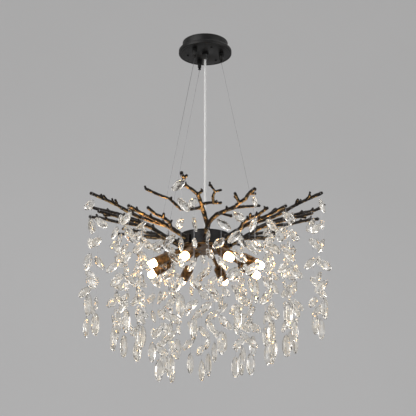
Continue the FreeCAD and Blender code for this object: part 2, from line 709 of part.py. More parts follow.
def build_lamp_socket(lamp):
    """Ceramic socket with a round recess for the bulb's base."""
    back = socket_start()
    recess = BULB_BASE_RADIUS + RUNNING_GAP
    front = back + SOCKET_LENGTH
    return lamp.turned([(back, SOCKET_RADIUS), (front, SOCKET_RADIUS), (front, recess),
                        (back + SOCKET_FLOOR, recess)])


def build_bulb(lamp):
    """Capsule bulb: a narrow base pushed into the socket and a domed glass."""
    base = socket_start() + SOCKET_FLOOR + SEAT_GAP
    glass = base + SOCKET_LENGTH - SOCKET_FLOOR + SEAT_GAP
    end = glass + BULB_GLASS_LENGTH
    return lamp.turned([(base, BULB_BASE_RADIUS), (glass, BULB_BASE_RADIUS), (glass + 2, BULB_RADIUS),
                        (end - BULB_DOME, BULB_RADIUS), (end, BULB_RADIUS * 0.5)])


# ---- Crystal strands ----
SMALL_OUTLINE = ((0, 0.5), (0.5, 0.02), (0, -0.5), (-0.5, 0.02))
DROP_OUTLINE = ((0, 0.5), (0.28, 0.3), (0.5, -0.02), (0.34, -0.34),
                (0, -0.5), (-0.34, -0.34), (-0.5, -0.02), (-0.28, 0.3))


@dataclass
class Crystal:
    """A flat leaf of cut glass: its outline's shares of the width and the length, and its hole's place."""

    outline: tuple
    length: float
    width: float
    thickness: float
    hole: float = 0.0

    def corners(self):
        """Corners of the outline in its own plane, seen from its hole."""
        return [(across * self.width, (along - self.hole) * self.length) for across, along in self.outline]

    def half_height(self, tilt):
        """Distance from the hole to the rim, straight up through the tilted leaf."""
        across, along = -math.sin(math.radians(tilt)), math.cos(math.radians(tilt))
        corners = self.corners()
        for (x1, y1), (x2, y2) in zip(corners, corners[1:] + corners[:1]):
            spread = across * (y2 - y1) - along * (x2 - x1)
            if abs(spread) < 1e-9:
                continue
            distance = (x1 * (y2 - y1) - y1 * (x2 - x1)) / spread
            share = (x1 * along - y1 * across) / spread
            if distance > 0 and 0 <= share <= 1:
                return distance
        raise ValueError("the outline isn't closed round its middle")

    def build(self, place, tilt, facing):
        """Faceted solid with a ridge point on each face, its hole at a place."""
        rim = [Vector(x, 0, y) for x, y in self.corners()]
        middle = -self.hole * self.length
        polygons = []
        for peak in (Vector(0, self.thickness / 2, middle), Vector(0, -self.thickness / 2, middle)):
            for first, second in zip(rim, rim[1:] + rim[:1]):
                polygons.append([first, second, peak])
        solid = closed_solid(polygons)
        solid.rotate(Vector(0, 0, 0), Vector(0, 1, 0), tilt)
        solid.rotate(Vector(0, 0, 0), UP, facing)
        solid.translate(place)
        return solid


SMALL_CRYSTAL = Crystal(SMALL_OUTLINE, CRYSTAL_LENGTH, CRYSTAL_WIDTH, CRYSTAL_THICKNESS, CRYSTAL_HOLE)
DROP_CRYSTAL = Crystal(DROP_OUTLINE, DROP_LENGTH, DROP_WIDTH, DROP_THICKNESS)


def strand_bottom(hook, index):
    """Height of a strand's lowest point, from its distance to the axis."""
    radius = math.hypot(hook.x, hook.y)
    uneven = BOTTOM_SCATTER * math.sin(index * math.radians(FACING_TURN) * 3)
    return -LOWEST_DROP + BOTTOM_SLOPE * (radius - LOWEST_AT_RADIUS) + uneven


def build_strand(hook, index):
    """One strand: lengths of thin wire, leaves threaded on it near their upper ends and a drop below."""
    drop_top = strand_bottom(hook, index) + DROP_LENGTH
    room = hook.z - drop_top
    count = max(1, round(room / CRYSTAL_PITCH))
    pitch = room / count
    solids = []
    above = hook.z
    for step in range(count):
        tilt = CRYSTAL_TILT if (step + index) % 2 else -CRYSTAL_TILT
        hole = Vector(hook.x, hook.y, hook.z - pitch * (step + FIRST_CRYSTAL))
        solids.append(SMALL_CRYSTAL.build(hole, tilt, FACING_TURN * index + FACING_STEP * step))
        upper = hole.z + SMALL_CRYSTAL.half_height(tilt) + SEAT_GAP
        lower = hole.z - SMALL_CRYSTAL.half_height(tilt + 180) - SEAT_GAP
        solids.append(rod(Vector(hook.x, hook.y, upper), Vector(hook.x, hook.y, above),
                          STRAND_WIRE_RADIUS, STRAND_WIRE_SIDES))
        above = lower
    middle = Vector(hook.x, hook.y, drop_top - DROP_LENGTH / 2)
    solids.append(DROP_CRYSTAL.build(middle, 0, FACING_TURN * index))
    solids.append(rod(Vector(hook.x, hook.y, drop_top + SEAT_GAP), Vector(hook.x, hook.y, above),
                      STRAND_WIRE_RADIUS, STRAND_WIRE_SIDES))
    return solids


def hook_below(casting, name, reach):
    """Upper end of a strand, just under a limb."""
    return on_limb(casting, name, reach, 0) + DOWN * HOOK_GAP


def strand_groups():
    """Name and hooks of each group of strands that sways together about one line."""
    groups = []
    for casting in CASTINGS:
        groups.append((f"main_strands_{casting.number}",
                       [hook_below(casting, "main_limb", reach) for reach in casting.main_hooks]))
        groups.append((f"side_strands_{casting.number}",
                       [hook_below(casting, "side_limb", reach) for reach in casting.side_hooks]))
    for index in range(CASTING_COUNT // 2):
        pair = CASTINGS[2 * index:2 * index + 2]
        groups.append((f"inner_strands_{index + 1}",
                       [hook_below(casting, casting.pattern[0].name, INNER_HOOK_REACH) for casting in pair]))
    return groups


def main():
    """Build every node and write it to the parts folder."""
    os.makedirs("parts", exist_ok=True)
    export("ceiling_bracket", [build_ceiling_bracket()])
    export("canopy_base", [build_canopy_base()])
    export("canopy_plate", [build_canopy_plate()])
    export("canopy_screws", build_canopy_screws())
    export("grip_barrels", build_grip_barrels())
    for number, place in enumerate(grip_places(), 1):
        export(f"grip_plunger_{number}", [build_grip_plunger(place)])
    export("canopy_gland", [build_canopy_gland()])
    export("terminal_block", [build_terminal_block()])
    feet = [anchor_foot(CASTINGS[number - 1]) for number in ANCHOR_CASTING_NUMBERS]
    export("wire_anchors", [build_wire_anchor(foot) for foot in feet])
    export("suspension_wires", [build_suspension_wire(grip, foot) for grip, foot in zip(grip_places(), feet)])
    export("power_cord", [build_power_cord()])
    export("hub_drum", [build_hub_drum()])
    export("hub_top_plate", [build_hub_plate(HUB_TOP - HUB_PLATE, GLAND_THREAD_RADIUS)])
    export("hub_bottom_plate", [build_hub_plate(HUB_BOTTOM, 0)])
    export("hub_posts", build_hub_posts())
    export("hub_screws", build_hub_screws())
    export("hub_gland", [build_hub_gland()])
    export("branch_bolts", [build_branch_bolt(casting) for casting in CASTINGS])
    for casting in CASTINGS:
        export(f"branch_{casting.number}", [build_branch(casting)])
    lamps = [Lamp(number + 1) for number in range(LAMP_COUNT)]
    export("lamp_arms", [build_lamp_arm(lamp) for lamp in lamps])
    export("lamp_cups", [build_lamp_cup(lamp) for lamp in lamps])
    export("lamp_sockets", [build_lamp_socket(lamp) for lamp in lamps])
    for lamp in lamps:
        export(f"bulb_{lamp.number}", [build_bulb(lamp)])
    index = 0
    for name, hooks in strand_groups():
        solids = []
        for hook in hooks:
            solids += build_strand(hook, index)
            index += 1
        export(name, solids)
        ends = " ".join(f"{value:.3f}" for hook in (hooks[0], hooks[-1]) for value in hook)
        print(f"sway line of {name}: {ends}")


main()
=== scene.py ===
"""Looks of a branch chandelier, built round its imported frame.

Places are metres in the frame of the part: the origin is the middle of the ceiling face, +Z points up
and everything hangs below it. The sizes of pieces and their profiles are millimetres, unless a comment
says otherwise. Turned pieces are modelled upright at the origin and then put in place.
"""
import json
import logging
import math
from contextlib import contextmanager
from dataclasses import dataclass
from enum import Enum
from typing import Iterator, Optional, Sequence, Union

import bpy
from mathutils import Matrix, Vector


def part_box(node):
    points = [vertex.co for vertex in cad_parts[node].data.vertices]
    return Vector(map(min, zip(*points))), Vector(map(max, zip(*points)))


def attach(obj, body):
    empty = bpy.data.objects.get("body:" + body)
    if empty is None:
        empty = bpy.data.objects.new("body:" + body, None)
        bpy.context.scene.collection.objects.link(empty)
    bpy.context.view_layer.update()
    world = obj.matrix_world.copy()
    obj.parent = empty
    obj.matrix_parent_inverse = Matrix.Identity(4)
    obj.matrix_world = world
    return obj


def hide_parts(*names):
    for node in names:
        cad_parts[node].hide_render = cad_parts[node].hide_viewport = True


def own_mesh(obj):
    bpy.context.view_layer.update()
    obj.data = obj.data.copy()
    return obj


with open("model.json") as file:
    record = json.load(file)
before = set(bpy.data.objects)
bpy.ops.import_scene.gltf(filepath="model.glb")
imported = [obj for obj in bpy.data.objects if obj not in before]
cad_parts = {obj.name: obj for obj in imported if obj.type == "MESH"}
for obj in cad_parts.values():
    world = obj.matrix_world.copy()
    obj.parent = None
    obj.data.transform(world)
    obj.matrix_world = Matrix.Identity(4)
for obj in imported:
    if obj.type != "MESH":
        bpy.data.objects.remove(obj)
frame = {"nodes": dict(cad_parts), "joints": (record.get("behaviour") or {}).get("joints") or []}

LOG = logging.getLogger("chandelier")
MM = 0.001
SMOOTH_ANGLE = 35.0     # degrees; steeper edges stay sharp in the shading
BEVEL_ANGLE = 32.0      # degrees; steeper edges are rounded
CORD_HOLE = 5.3         # radius of the holes that the cord's glands sit in
MIX_SHARE, MIX_FIRST, MIX_SECOND = 0, 6, 7      # a Mix node's inputs when it blends colours
MIX_RESULT = 2

Colour = tuple[float, float, float]
Triple = tuple[float, float, float]
Profile = Sequence[tuple[float, float]]
Piece = bpy.types.Object


# ---------------------------------------------------------------- shader maths
class Value:
    """A number that varies over a surface; sums on it add Math nodes to its sheet."""

    def __init__(self, sheet: "NodeSheet", socket: bpy.types.NodeSocket) -> None:
        """Wrap a socket.

        Args:
            sheet: The node sheet that the socket belongs to.
            socket: The output that carries the number.
        """
        self.sheet = sheet
        self.socket = socket

    def _math(self, operation: str, first: "Number", second: "Number", clamp: bool = False) -> "Value":
        """Add one Math node.

        Args:
            operation: Blender's name of the operation.
            first: The first number.
            second: The second number.
            clamp: Whether the result stays between 0 and 1.

        Returns:
            The node's result.
        """
        node = self.sheet.node("ShaderNodeMath", {"operation": operation, "use_clamp": clamp},
                               {0: first, 1: second})
        return Value(self.sheet, node.outputs[0])

    def __add__(self, other: "Number") -> "Value":
        """Sum."""
        return self._math("ADD", self, other)

    __radd__ = __add__

    def __sub__(self, other: "Number") -> "Value":
        """Difference."""
        return self._math("SUBTRACT", self, other)

    def __rsub__(self, other: "Number") -> "Value":
        """Difference from a plain number."""
        return self._math("SUBTRACT", other, self)

    def __mul__(self, other: "Number") -> "Value":
        """Product."""
        return self._math("MULTIPLY", self, other)

    __rmul__ = __mul__

    def clamped(self) -> "Value":
        """The same number, kept between 0 and 1."""
        return self._math("ADD", self, 0.0, clamp=True)

    def step(self, low: float, high: float) -> "Value":
        """Smooth step from 0 at one value to 1 at another.

        Args:
            low: The value that gives 0.
            high: The value that gives 1.

        Returns:
            The stepped number.
        """
        node = self.sheet.node("ShaderNodeMapRange", {"interpolation_type": "SMOOTHSTEP"},
                               {"Value": self, "From Min": low, "From Max": high})
        return Value(self.sheet, node.outputs[0])


Number = Union[float, Value]
Tint = Union[Colour, bpy.types.NodeSocket]


class NodeSheet:
    """The nodes of one material."""

    def __init__(self, name: str) -> None:
        """Start an empty material.

        Args:
            name: The material's name.
        """
        self.material = bpy.data.materials.new(name)
        self.material.use_nodes = True
        self.tree = self.material.node_tree
        self.tree.nodes.clear()
        self.place = self.node("ShaderNodeTexCoord").outputs["Object"]

    def node(self, kind: str, settings: Optional[dict] = None,
             inputs: Optional[dict] = None) -> bpy.types.Node:
        """Add a node.

        Args:
            kind: The node's type.
            settings: Its own settings, set first.
            inputs: Values or links of its sockets, by name or number.

        Returns:
            The new node.
        """
        node = self.tree.nodes.new(kind)
        for key, setting in (settings or {}).items():
            setattr(node, key, setting)
        for key, given in (inputs or {}).items():
            source = given.socket if isinstance(given, Value) else given
            if isinstance(source, bpy.types.NodeSocket):
                self.tree.links.new(source, node.inputs[key])
            else:
                node.inputs[key].default_value = source
        return node

    def noise(self, scale: float, detail: float = 4.0, roughness: float = 0.55,
              stretch: Optional[Triple] = None) -> Value:
        """Cloudy noise over the piece, about 0.5 on average.

        Args:
            scale: Cells in a metre.
            detail: Octaves.
            roughness: Weight of the finer octaves.
            stretch: Scale along each direction, for streaks.

        Returns:
            The noise.
        """
        where = self.place
        if stretch:
            where = self.node("ShaderNodeMapping", None, {"Vector": where, "Scale": stretch}).outputs[0]
        node = self.node("ShaderNodeTexNoise", None, {"Vector": where, "Scale": scale, "Detail": detail,
                                                      "Roughness": roughness})
        return Value(self, node.outputs["Fac"])

    def cells(self, scale: float) -> Value:
        """Distance to the nearest of scattered points, for a hammered look.

        Args:
            scale: Cells in a metre.

        Returns:
            The distance.
        """
        node = self.node("ShaderNodeTexVoronoi", None, {"Vector": self.place, "Scale": scale})
        return Value(self, node.outputs["Distance"])

    def attribute(self, name: str) -> Value:
        """A number stored on the points of the mesh."""
        return Value(self, self.node("ShaderNodeAttribute", {"attribute_name": name}).outputs["Fac"])

    def mix(self, share: Number, first: "Tint", second: "Tint") -> bpy.types.NodeSocket:
        """Blend of two colours.

        Args:
            share: How much of the second colour.
            first: The first colour, plain or a socket.
            second: The second colour, plain or a socket.

        Returns:
            The mixed colour's socket.
        """
        pair = [colour if isinstance(colour, bpy.types.NodeSocket) else (*colour, 1.0)
                for colour in (first, second)]
        node = self.node("ShaderNodeMix", {"data_type": "RGBA"},
                         {MIX_SHARE: share, MIX_FIRST: pair[0], MIX_SECOND: pair[1]})
        return node.outputs[MIX_RESULT]

    def bump(self, height: Value, depth: float) -> bpy.types.NodeSocket:
        """Surface relief.

        Args:
            height: Relief between 0 and 1.
            depth: Depth in metres of the full relief.

        Returns:
            The normal's socket.
        """
        return self.node("ShaderNodeBump", None, {"Strength": 1.0, "Distance": depth,
                                                  "Height": height}).outputs["Normal"]

    def finish(self, inputs: dict) -> bpy.types.Material:
        """Close the material with a Principled surface.

        Args:
            inputs: The surface's sockets.

        Returns:
            The material.
        """
        surface = self.node("ShaderNodeBsdfPrincipled", None, inputs)
        self.node("ShaderNodeOutputMaterial", None, {"Surface": surface.outputs[0]})
        return self.material


# ---------------------------------------------------------------- finishes
@dataclass(frozen=True)
class BlackEnamel:
    """Semi-gloss black enamel of the canopy and the hub, with a fine orange-peel surface."""

    base: Colour = (0.006, 0.006, 0.006)
    worn: Colour = (0.014, 0.012, 0.011)
    cloud_scale: float = 38.0
    peel_scale: float = 1500.0
    peel_depth: float = 0.00006

    def material(self) -> bpy.types.Material:
        """Build the finish."""
        sheet = NodeSheet("black_enamel")
        cloud = sheet.noise(self.cloud_scale)
        peel = sheet.noise(self.peel_scale, detail=2.0)
        return sheet.finish({"Base Color": sheet.mix(cloud.step(0.45, 0.75), self.base, self.worn),
                             "Roughness": cloud * 0.2 + 0.32, "Specular IOR Level": 0.25,
                             "Normal": sheet.bump(peel, self.peel_depth)})


@dataclass(frozen=True)
class BronzeWithGoldAndPaintedUnderlight:
    """Nearly black patina of the castings, brushed with gold; the gold gathers on their undersides as painted
    light from the lamps below.
    """

    patina: Colour = (0.009, 0.008, 0.008)
    brown: Colour = (0.035, 0.022, 0.013)
    # gold of the real rubbing; on the undersides it also stands for painted lamp light
    gold: Colour = (0.72, 0.46, 0.2)
    cloud_scale: float = 70.0
    streak_scale: float = 420.0
    cloud_wear: float = 1.1
    streak_wear: float = 0.9
    bark_depth: float = 0.0005

    def material(self) -> bpy.types.Material:
        """Build the finish; the attribute that it reads is 1 on undersides and 0 on tops, and gathers the
        gold there as painted lamp light from below.
        """
        sheet = NodeSheet("bronze_gold_and_painted_underlight")
        cloud = sheet.noise(self.cloud_scale, detail=5.0)
        streak = sheet.noise(self.streak_scale, detail=5.0, roughness=0.65)
        # gold: real rubbing and wear from the noise, plus painted light from the lamps below on the
        # undersides
        gold_rub_and_underlight = sheet.attribute("gold_rub_and_underlight") + (cloud - 0.5) * self.cloud_wear + (streak - 0.5) * self.streak_wear
        gold_and_underlight_share = gold_rub_and_underlight.step(0.92, 1.06)
        under = sheet.mix(streak.step(0.4, 0.75), self.patina, self.brown)
        bark = streak * 0.6 + cloud * 0.4
        return sheet.finish({"Base Color": sheet.mix(gold_and_underlight_share, under, self.gold),
                             "Metallic": gold_and_underlight_share * 0.35 + 0.6,
                             "Roughness": 0.44 - gold_and_underlight_share * 0.14 + (cloud - 0.5) * 0.2,
                             "Normal": sheet.bump(bark, self.bark_depth)})


@dataclass(frozen=True)
class AntiqueGold:
    """Dark gold lacquer of the lamp cups, arms and the hub's underside."""

    dark: Colour = (0.05, 0.026, 0.012)
    bright: Colour = (0.3, 0.155, 0.05)
    cloud_scale: float = 130.0
    dent_scale: float = 420.0
    dent_depth: float = 0.00035

    def material(self) -> bpy.types.Material:
        """Build the finish."""
        sheet = NodeSheet("antique_gold")
        cloud = sheet.noise(self.cloud_scale, detail=5.0, roughness=0.6)
        dents = sheet.cells(self.dent_scale)
        return sheet.finish({"Base Color": sheet.mix(cloud.step(0.35, 0.68), self.dark, self.bright),
                             "Metallic": 0.8, "Roughness": cloud * 0.25 + 0.28,
                             "Normal": sheet.bump(dents, self.dent_depth)})


@dataclass(frozen=True)
class DrawnSteel:
    """Bright steel with fine drawing lines along its length, for wires, hooks and screws."""

    name: str = "drawn_steel"
    colour: Colour = (0.34, 0.34, 0.35)
    roughness: float = 0.34
    line_scale: float = 900.0
    line_stretch: Triple = (1.0, 1.0, 0.05)
    line_shade: float = 0.72
    line_depth: float = 0.00002

    def material(self) -> bpy.types.Material:
        """Build the finish."""
        sheet = NodeSheet(self.name)
        lines = sheet.noise(self.line_scale, detail=3.0, stretch=self.line_stretch)
        tint = tuple(self.line_shade * part for part in self.colour)
        return sheet.finish({"Base Color": sheet.mix(lines, tint, self.colour), "Metallic": 1.0,
                             "Roughness": lines * 0.2 + (self.roughness - 0.1),
                             "Normal": sheet.bump(lines, self.line_depth)})


@dataclass(frozen=True)
class Moulded:
    """Moulded plastic or glazed ceramic with a faint grain."""

    name: str
    colour: Colour
    shade: Colour
    roughness: float = 0.45
    cloud_scale: float = 60.0
    grain_scale: float = 2600.0
    grain_depth: float = 0.00003

    def material(self) -> bpy.types.Material:
        """Build the finish."""
        sheet = NodeSheet(self.name)
        cloud = sheet.noise(self.cloud_scale)
        grain = sheet.noise(self.grain_scale, detail=2.0)
        return sheet.finish({"Base Color": sheet.mix(cloud.step(0.4, 0.8), self.colour, self.shade),
                             "Roughness": cloud * 0.15 + (self.roughness - 0.07),
                             "Normal": sheet.bump(grain, self.grain_depth)})


@dataclass(frozen=True)
class ClearSheath:
    """Clear flexible sheath of the power cord."""

    colour: Colour = (0.93, 0.94, 0.94)
    pale: Colour = (0.98, 0.98, 0.98)
    haze_scale: float = 50.0
    clearness: float = 0.35
    index: float = 1.4

    def material(self) -> bpy.types.Material:
        """Build the finish."""
        sheet = NodeSheet("clear_sheath")
        haze = sheet.noise(self.haze_scale)
        return sheet.finish({"Base Color": sheet.mix(haze, self.colour, self.pale),
                             "Roughness": haze * 0.1 + 0.08, "Transmission Weight": self.clearness,
                             "IOR": self.index})


@dataclass(frozen=True)
class LitGlass:
    """Frosted capsule glass, lit warm white and a little darker towards its base."""

    glass: Colour = (0.95, 0.93, 0.88)
    base_glow: Colour = (0.5, 0.3, 0.12)
    glow: Colour = (1.0, 0.87, 0.67)
    strength: float = 60.0
    frost_scale: float = 1800.0
    frost_depth: float = 0.00002

    def material(self) -> bpy.types.Material:
        """Build the finish; the heat attribute is 1 where the light is fullest."""
        sheet = NodeSheet("lit_glass")
        heat = sheet.attribute("heat")
        frost = sheet.noise(self.frost_scale, detail=2.0)
        return sheet.finish({"Base Color": (*self.glass, 1.0), "Roughness": frost * 0.2 + 0.25,
                             "Emission Color": sheet.mix(heat, self.base_glow, self.glow),
                             "Emission Strength": self.strength,
                             "Normal": sheet.bump(frost, self.frost_depth)})


@dataclass(frozen=True)
class CutCrystal:
    """Clear cut glass with polished facets and faint inner haze."""

    colour: Colour = (0.995, 0.983, 0.96)
    warm: Colour = (1.0, 0.93, 0.81)
    cloud_scale: float = 70.0
    haze: float = 0.02
    clearness: float = 0.97
    index: float = 1.52

    def material(self) -> bpy.types.Material:
        """Build the finish."""
        sheet = NodeSheet("cut_crystal")
        cloud = sheet.noise(self.cloud_scale, detail=2.0)
        return sheet.finish({"Base Color": sheet.mix(cloud.step(0.35, 0.7), self.colour, self.warm),
                             "Roughness": cloud * self.haze, "Transmission Weight": self.clearness,
                             "IOR": self.index})


@dataclass(frozen=True)
class Backdrop:
    """Pale matt wall and floor with an even glow that only the camera, metal and glass see."""

    colour: Colour = (0.46, 0.46, 0.468)
    glow: float = 0.16
    cloud_scale: float = 1.3
    shade: float = 0.94

    def material(self) -> bpy.types.Material:
        """Build the finish."""
        sheet = NodeSheet("backdrop")
        cloud = sheet.noise(self.cloud_scale, detail=3.0)
        tint = tuple(self.shade * part for part in self.colour)
        path = sheet.node("ShaderNodeLightPath")
        seen = sum(Value(sheet, path.outputs[f"Is {ray} Ray"])
                   for ray in ("Camera", "Glossy", "Transmission"))
        return sheet.finish({"Base Color": sheet.mix(cloud, tint, self.colour), "Roughness": 0.9,
                             "Emission Color": (1.0, 1.0, 1.0, 1.0),
                             "Emission Strength": seen.clamped() * self.glow})


class Slot(Enum):
    """The record's material slots."""

    ZINC = "zinc_steel"
    ENAMEL = "black_enamel"
    BLACK_PLASTIC = "black_plastic"
    WHITE_PLASTIC = "white_plastic"
    STEEL = "steel"
    SHEATH = "cord_sheath"
    BRONZE = "dark_bronze"
    GOLD = "dark_gold"
    CERAMIC = "white_ceramic"
    BULB = "bulb_glass"
    CRYSTAL = "crystal"


class Finishes:
    """Every material of the object, made once."""

    def __init__(self) -> None:
        """Build the materials."""
        black = Moulded("black_plastic", (0.012, 0.012, 0.012), (0.02, 0.02, 0.021))
        white = Moulded("white_plastic", (0.78, 0.78, 0.75), (0.7, 0.69, 0.65))
        ceramic = Moulded("white_ceramic", (0.82, 0.81, 0.77), (0.74, 0.72, 0.67), 0.22)
        self.of = {
            Slot.ZINC: DrawnSteel("zinc_plate", (0.36, 0.36, 0.375), 0.48).material(),
            Slot.ENAMEL: BlackEnamel().material(),
            Slot.BLACK_PLASTIC: black.material(),
            Slot.WHITE_PLASTIC: white.material(),
            Slot.STEEL: DrawnSteel().material(),
            Slot.SHEATH: ClearSheath().material(),
            Slot.BRONZE: BronzeWithGoldAndPaintedUnderlight().material(),
            Slot.GOLD: AntiqueGold().material(),
            Slot.CERAMIC: ceramic.material(),
            Slot.BULB: LitGlass().material(),
            Slot.CRYSTAL: CutCrystal().material(),
        }

    def dress(self, piece: Piece, slot: Slot) -> None:
        """Give a piece its material.

        Args:
            piece: The piece.
            slot: The record's slot of that finish.
        """
        piece.data.materials.clear()
        piece.data.materials.append(self.of[slot])


# ---------------------------------------------------------------- modelling moves
def select_only(*pieces: Piece) -> None:
    """Select these pieces and nothing else; the last one is active."""
    bpy.ops.object.select_all(action="DESELECT")
    for piece in pieces:
        piece.select_set(True)
        bpy.context.view_layer.objects.active = piece


@contextmanager
def editing(piece: Piece) -> Iterator[None]:
    """Edit mode on one piece, with all of its mesh selected at the start."""
    select_only(piece)
    bpy.ops.object.mode_set(mode="EDIT")
    bpy.ops.mesh.select_all(action="SELECT")
    try:
        yield
    finally:
        bpy.ops.object.mode_set(mode="OBJECT")


def named(name: str) -> Piece:
    """Name the primitive that was just added and settle its place in its mesh."""
    piece = bpy.context.active_object
    piece.name = name
    piece.data.name = name
    select_only(piece)
    bpy.ops.object.transform_apply(location=True, rotation=True, scale=True)
    return piece


def modify(piece: Piece, kind: str, **settings: object) -> None:
    """Add a modifier and apply it.

    Args:
        piece: The piece.
        kind: The modifier's type.
        settings: The modifier's settings.
    """
    modifier = piece.modifiers.new(kind.lower(), kind)
    for key, setting in settings.items():
        setattr(modifier, key, setting)
    select_only(piece)
    bpy.ops.object.modifier_apply(modifier=modifier.name)


def smooth(piece: Piece, angle: float = SMOOTH_ANGLE) -> Piece:
    """Shade a piece smoothly except at its sharp edges."""
    select_only(piece)
    bpy.ops.object.shade_smooth_by_angle(angle=math.radians(angle))
    return piece


def turned(name: str, profile: Profile, sides: int = 40, hollow: bool = False, edge: float = 0.0) -> Piece:
    """Turned piece about +Z: a circle extruded and scaled from corner to corner.

    Args:
        name: The piece's name.
        profile: (height, radius) corners in millimetres; a hollow one runs round its wall.
        sides: Sides of the circle.
        hollow: Whether the last corner joins the first.
        edge: Width in millimetres of the rounding on sharp edges.

    Returns:
        The piece, at the origin.
    """
    bpy.ops.object.select_all(action="DESELECT")
    height, radius = profile[0]
    bpy.ops.mesh.primitive_circle_add(vertices=sides, radius=radius * MM, fill_type="NOTHING",
                                      location=(0, 0, height * MM))
    piece = named(name)
    with editing(piece):
        for next_height, next_radius in profile[1:]:
            rise = (0, 0, (next_height - height) * MM)
            bpy.ops.mesh.extrude_edges_move(TRANSFORM_OT_translate={"value": rise})
            growth = next_radius / radius
            bpy.ops.transform.resize(value=(growth, growth, 1), center_override=(0, 0, next_height * MM))
            height, radius = next_height, next_radius
        bpy.ops.mesh.select_all(action="DESELECT")
        bpy.ops.mesh.select_non_manifold()
        if hollow:
            bpy.ops.mesh.bridge_edge_loops()
        else:
            bpy.ops.mesh.edge_face_add()
            bpy.ops.mesh.select_non_manifold()
        bpy.ops.mesh.select_all(action="SELECT")
        bpy.ops.mesh.fill_holes(sides=0)
        bpy.ops.mesh.normals_make_consistent(inside=False)
    if edge:
        modify(piece, "BEVEL", width=edge * MM, segments=2, limit_method="ANGLE",
               angle_limit=math.radians(BEVEL_ANGLE), use_clamp_overlap=True)
    return smooth(piece)


def copied(piece: Piece, name: str, place: Matrix) -> Piece:
    """Copy of a piece with its own mesh, put in place.

    Args:
        piece: The piece to copy.
        name: The copy's name.
        place: Where the copy goes.

    Returns:
        The copy.
    """
    twin = piece.copy()
    twin.data = piece.data.copy()
    twin.name = name
    twin.data.name = name
    twin.data.transform(place)
    bpy.context.scene.collection.objects.link(twin)
    return twin


def placed(piece: Piece, place: Matrix) -> Piece:
    """Put a piece's mesh in place."""
    piece.data.transform(place)
    piece.data.update()
    return piece


def joined(name: str, pieces: Sequence[Piece]) -> Piece:
    """One piece from several."""
    select_only(*pieces)
    bpy.ops.object.join()
    piece = bpy.context.active_object
    piece.name = name
    piece.data.name = name
    return piece


def discard(*pieces: Piece) -> None:
    """Remove patterns that were only modelled to be copied."""
    for piece in pieces:
        bpy.data.objects.remove(piece)


def direction_matrix(origin: Vector, along: Vector, across: Optional[Vector] = None) -> Matrix:
    """Matrix that puts +Z along a direction and +X near another.

    Args:
        origin: Where the origin goes.
        along: Where +Z points.
        across: Where +X points, as nearly as it can.

    Returns:
        The matrix.
    """
    z_axis = along.normalized()
    if across is None:
        across = Vector((1, 0, 0)) if abs(z_axis.x) < 0.9 else Vector((0, 1, 0))
    x_axis = (across - z_axis * across.dot(z_axis)).normalized()
    y_axis = z_axis.cross(x_axis)
    turn = Matrix((x_axis, y_axis, z_axis)).transposed()
    return Matrix.Translation(origin) @ turn.to_4x4()


def corners_of(node: str) -> list[list[Vector]]:
    """Corners of each separate solid in a node.

    Args:
        node: The node's name.

    Returns:
        A list of corners for every solid.
    """
    mesh = frame["nodes"][node].data
    keys = [tuple(round(part, 6) for part in corner.co) for corner in mesh.vertices]
    leader = {key: key for key in keys}

    def root(key: tuple) -> tuple:
        """The corner that stands for a corner's whole solid."""
        while leader[key] != key:
            leader[key] = leader[leader[key]]
            key = leader[key]
        return key

    for face in mesh.polygons:
        first = root(keys[face.vertices[0]])
        for index in face.vertices[1:]:
            leader[root(keys[index])] = first
    solids: dict[tuple, list[Vector]] = {}
    for key in dict.fromkeys(keys):
        solids.setdefault(root(key), []).append(Vector(key))
    return list(solids.values())


def middle_of(points: Sequence[Vector]) -> Vector:
    """Mean of some points."""
    return sum(points, Vector()) / len(points)


def scatter(index: int, step: float, low: float, span: float) -> float:
    """Number that jumps about as an index grows, and is the same in each run.

    Args:
        index: The index.
        step: How far each index moves the number round its span.
        low: The lowest number.
        span: How far above it the numbers reach.

    Returns:
        The number.
    """
    return low + span * math.modf(index * step)[0]


# ---------------------------------------------------------------- fittings that repeat
def domed_screw(name: str, seat: float) -> Piece:
    """Screw driven upwards, with a domed head and a recess for the driver.

    Args:
        name: The piece's name.
        seat: Height of the surface under its head.

    Returns:
        The screw on the Z axis.
    """
    profile = [(seat - 1.2, 0.25), (seat - 1.4, 0.9), (seat - 2.1, 1.1), (seat - 1.9, 2.0), (seat - 1.3, 2.9),
               (seat - 0.5, 3.4), (seat, 3.4), (seat, 1.6), (seat + 14, 1.6)]
    return turned(name, profile, 24)


def cord_gland(name: str, seat: float, side: int, buried: float) -> Piece:
    """Tapered gland round the cord, with a grooved collar.

    Args:
        name: The piece's name.
        seat: Height of the face that it sits on.
        side: 1 where it stands on the face, -1 where it hangs from it.
        buried: Length of its thread behind the face.

    Returns:
        The gland on the Z axis.
    """
    outline = [(-buried, 5), (0, 5), (0, 7.6), (0.4, 8), (2.6, 8), (3, 7.6), (5, 7.3), (5.3, 6.8), (6, 6.8),
               (6.3, 7.0), (10, 6.1), (13.4, 5.2), (14, 4.6), (14, 3.3), (-buried, 3.3)]
    profile = [(seat + side * height, radius) for height, radius in outline]
    return turned(name, profile, 40, hollow=True, edge=0.15)


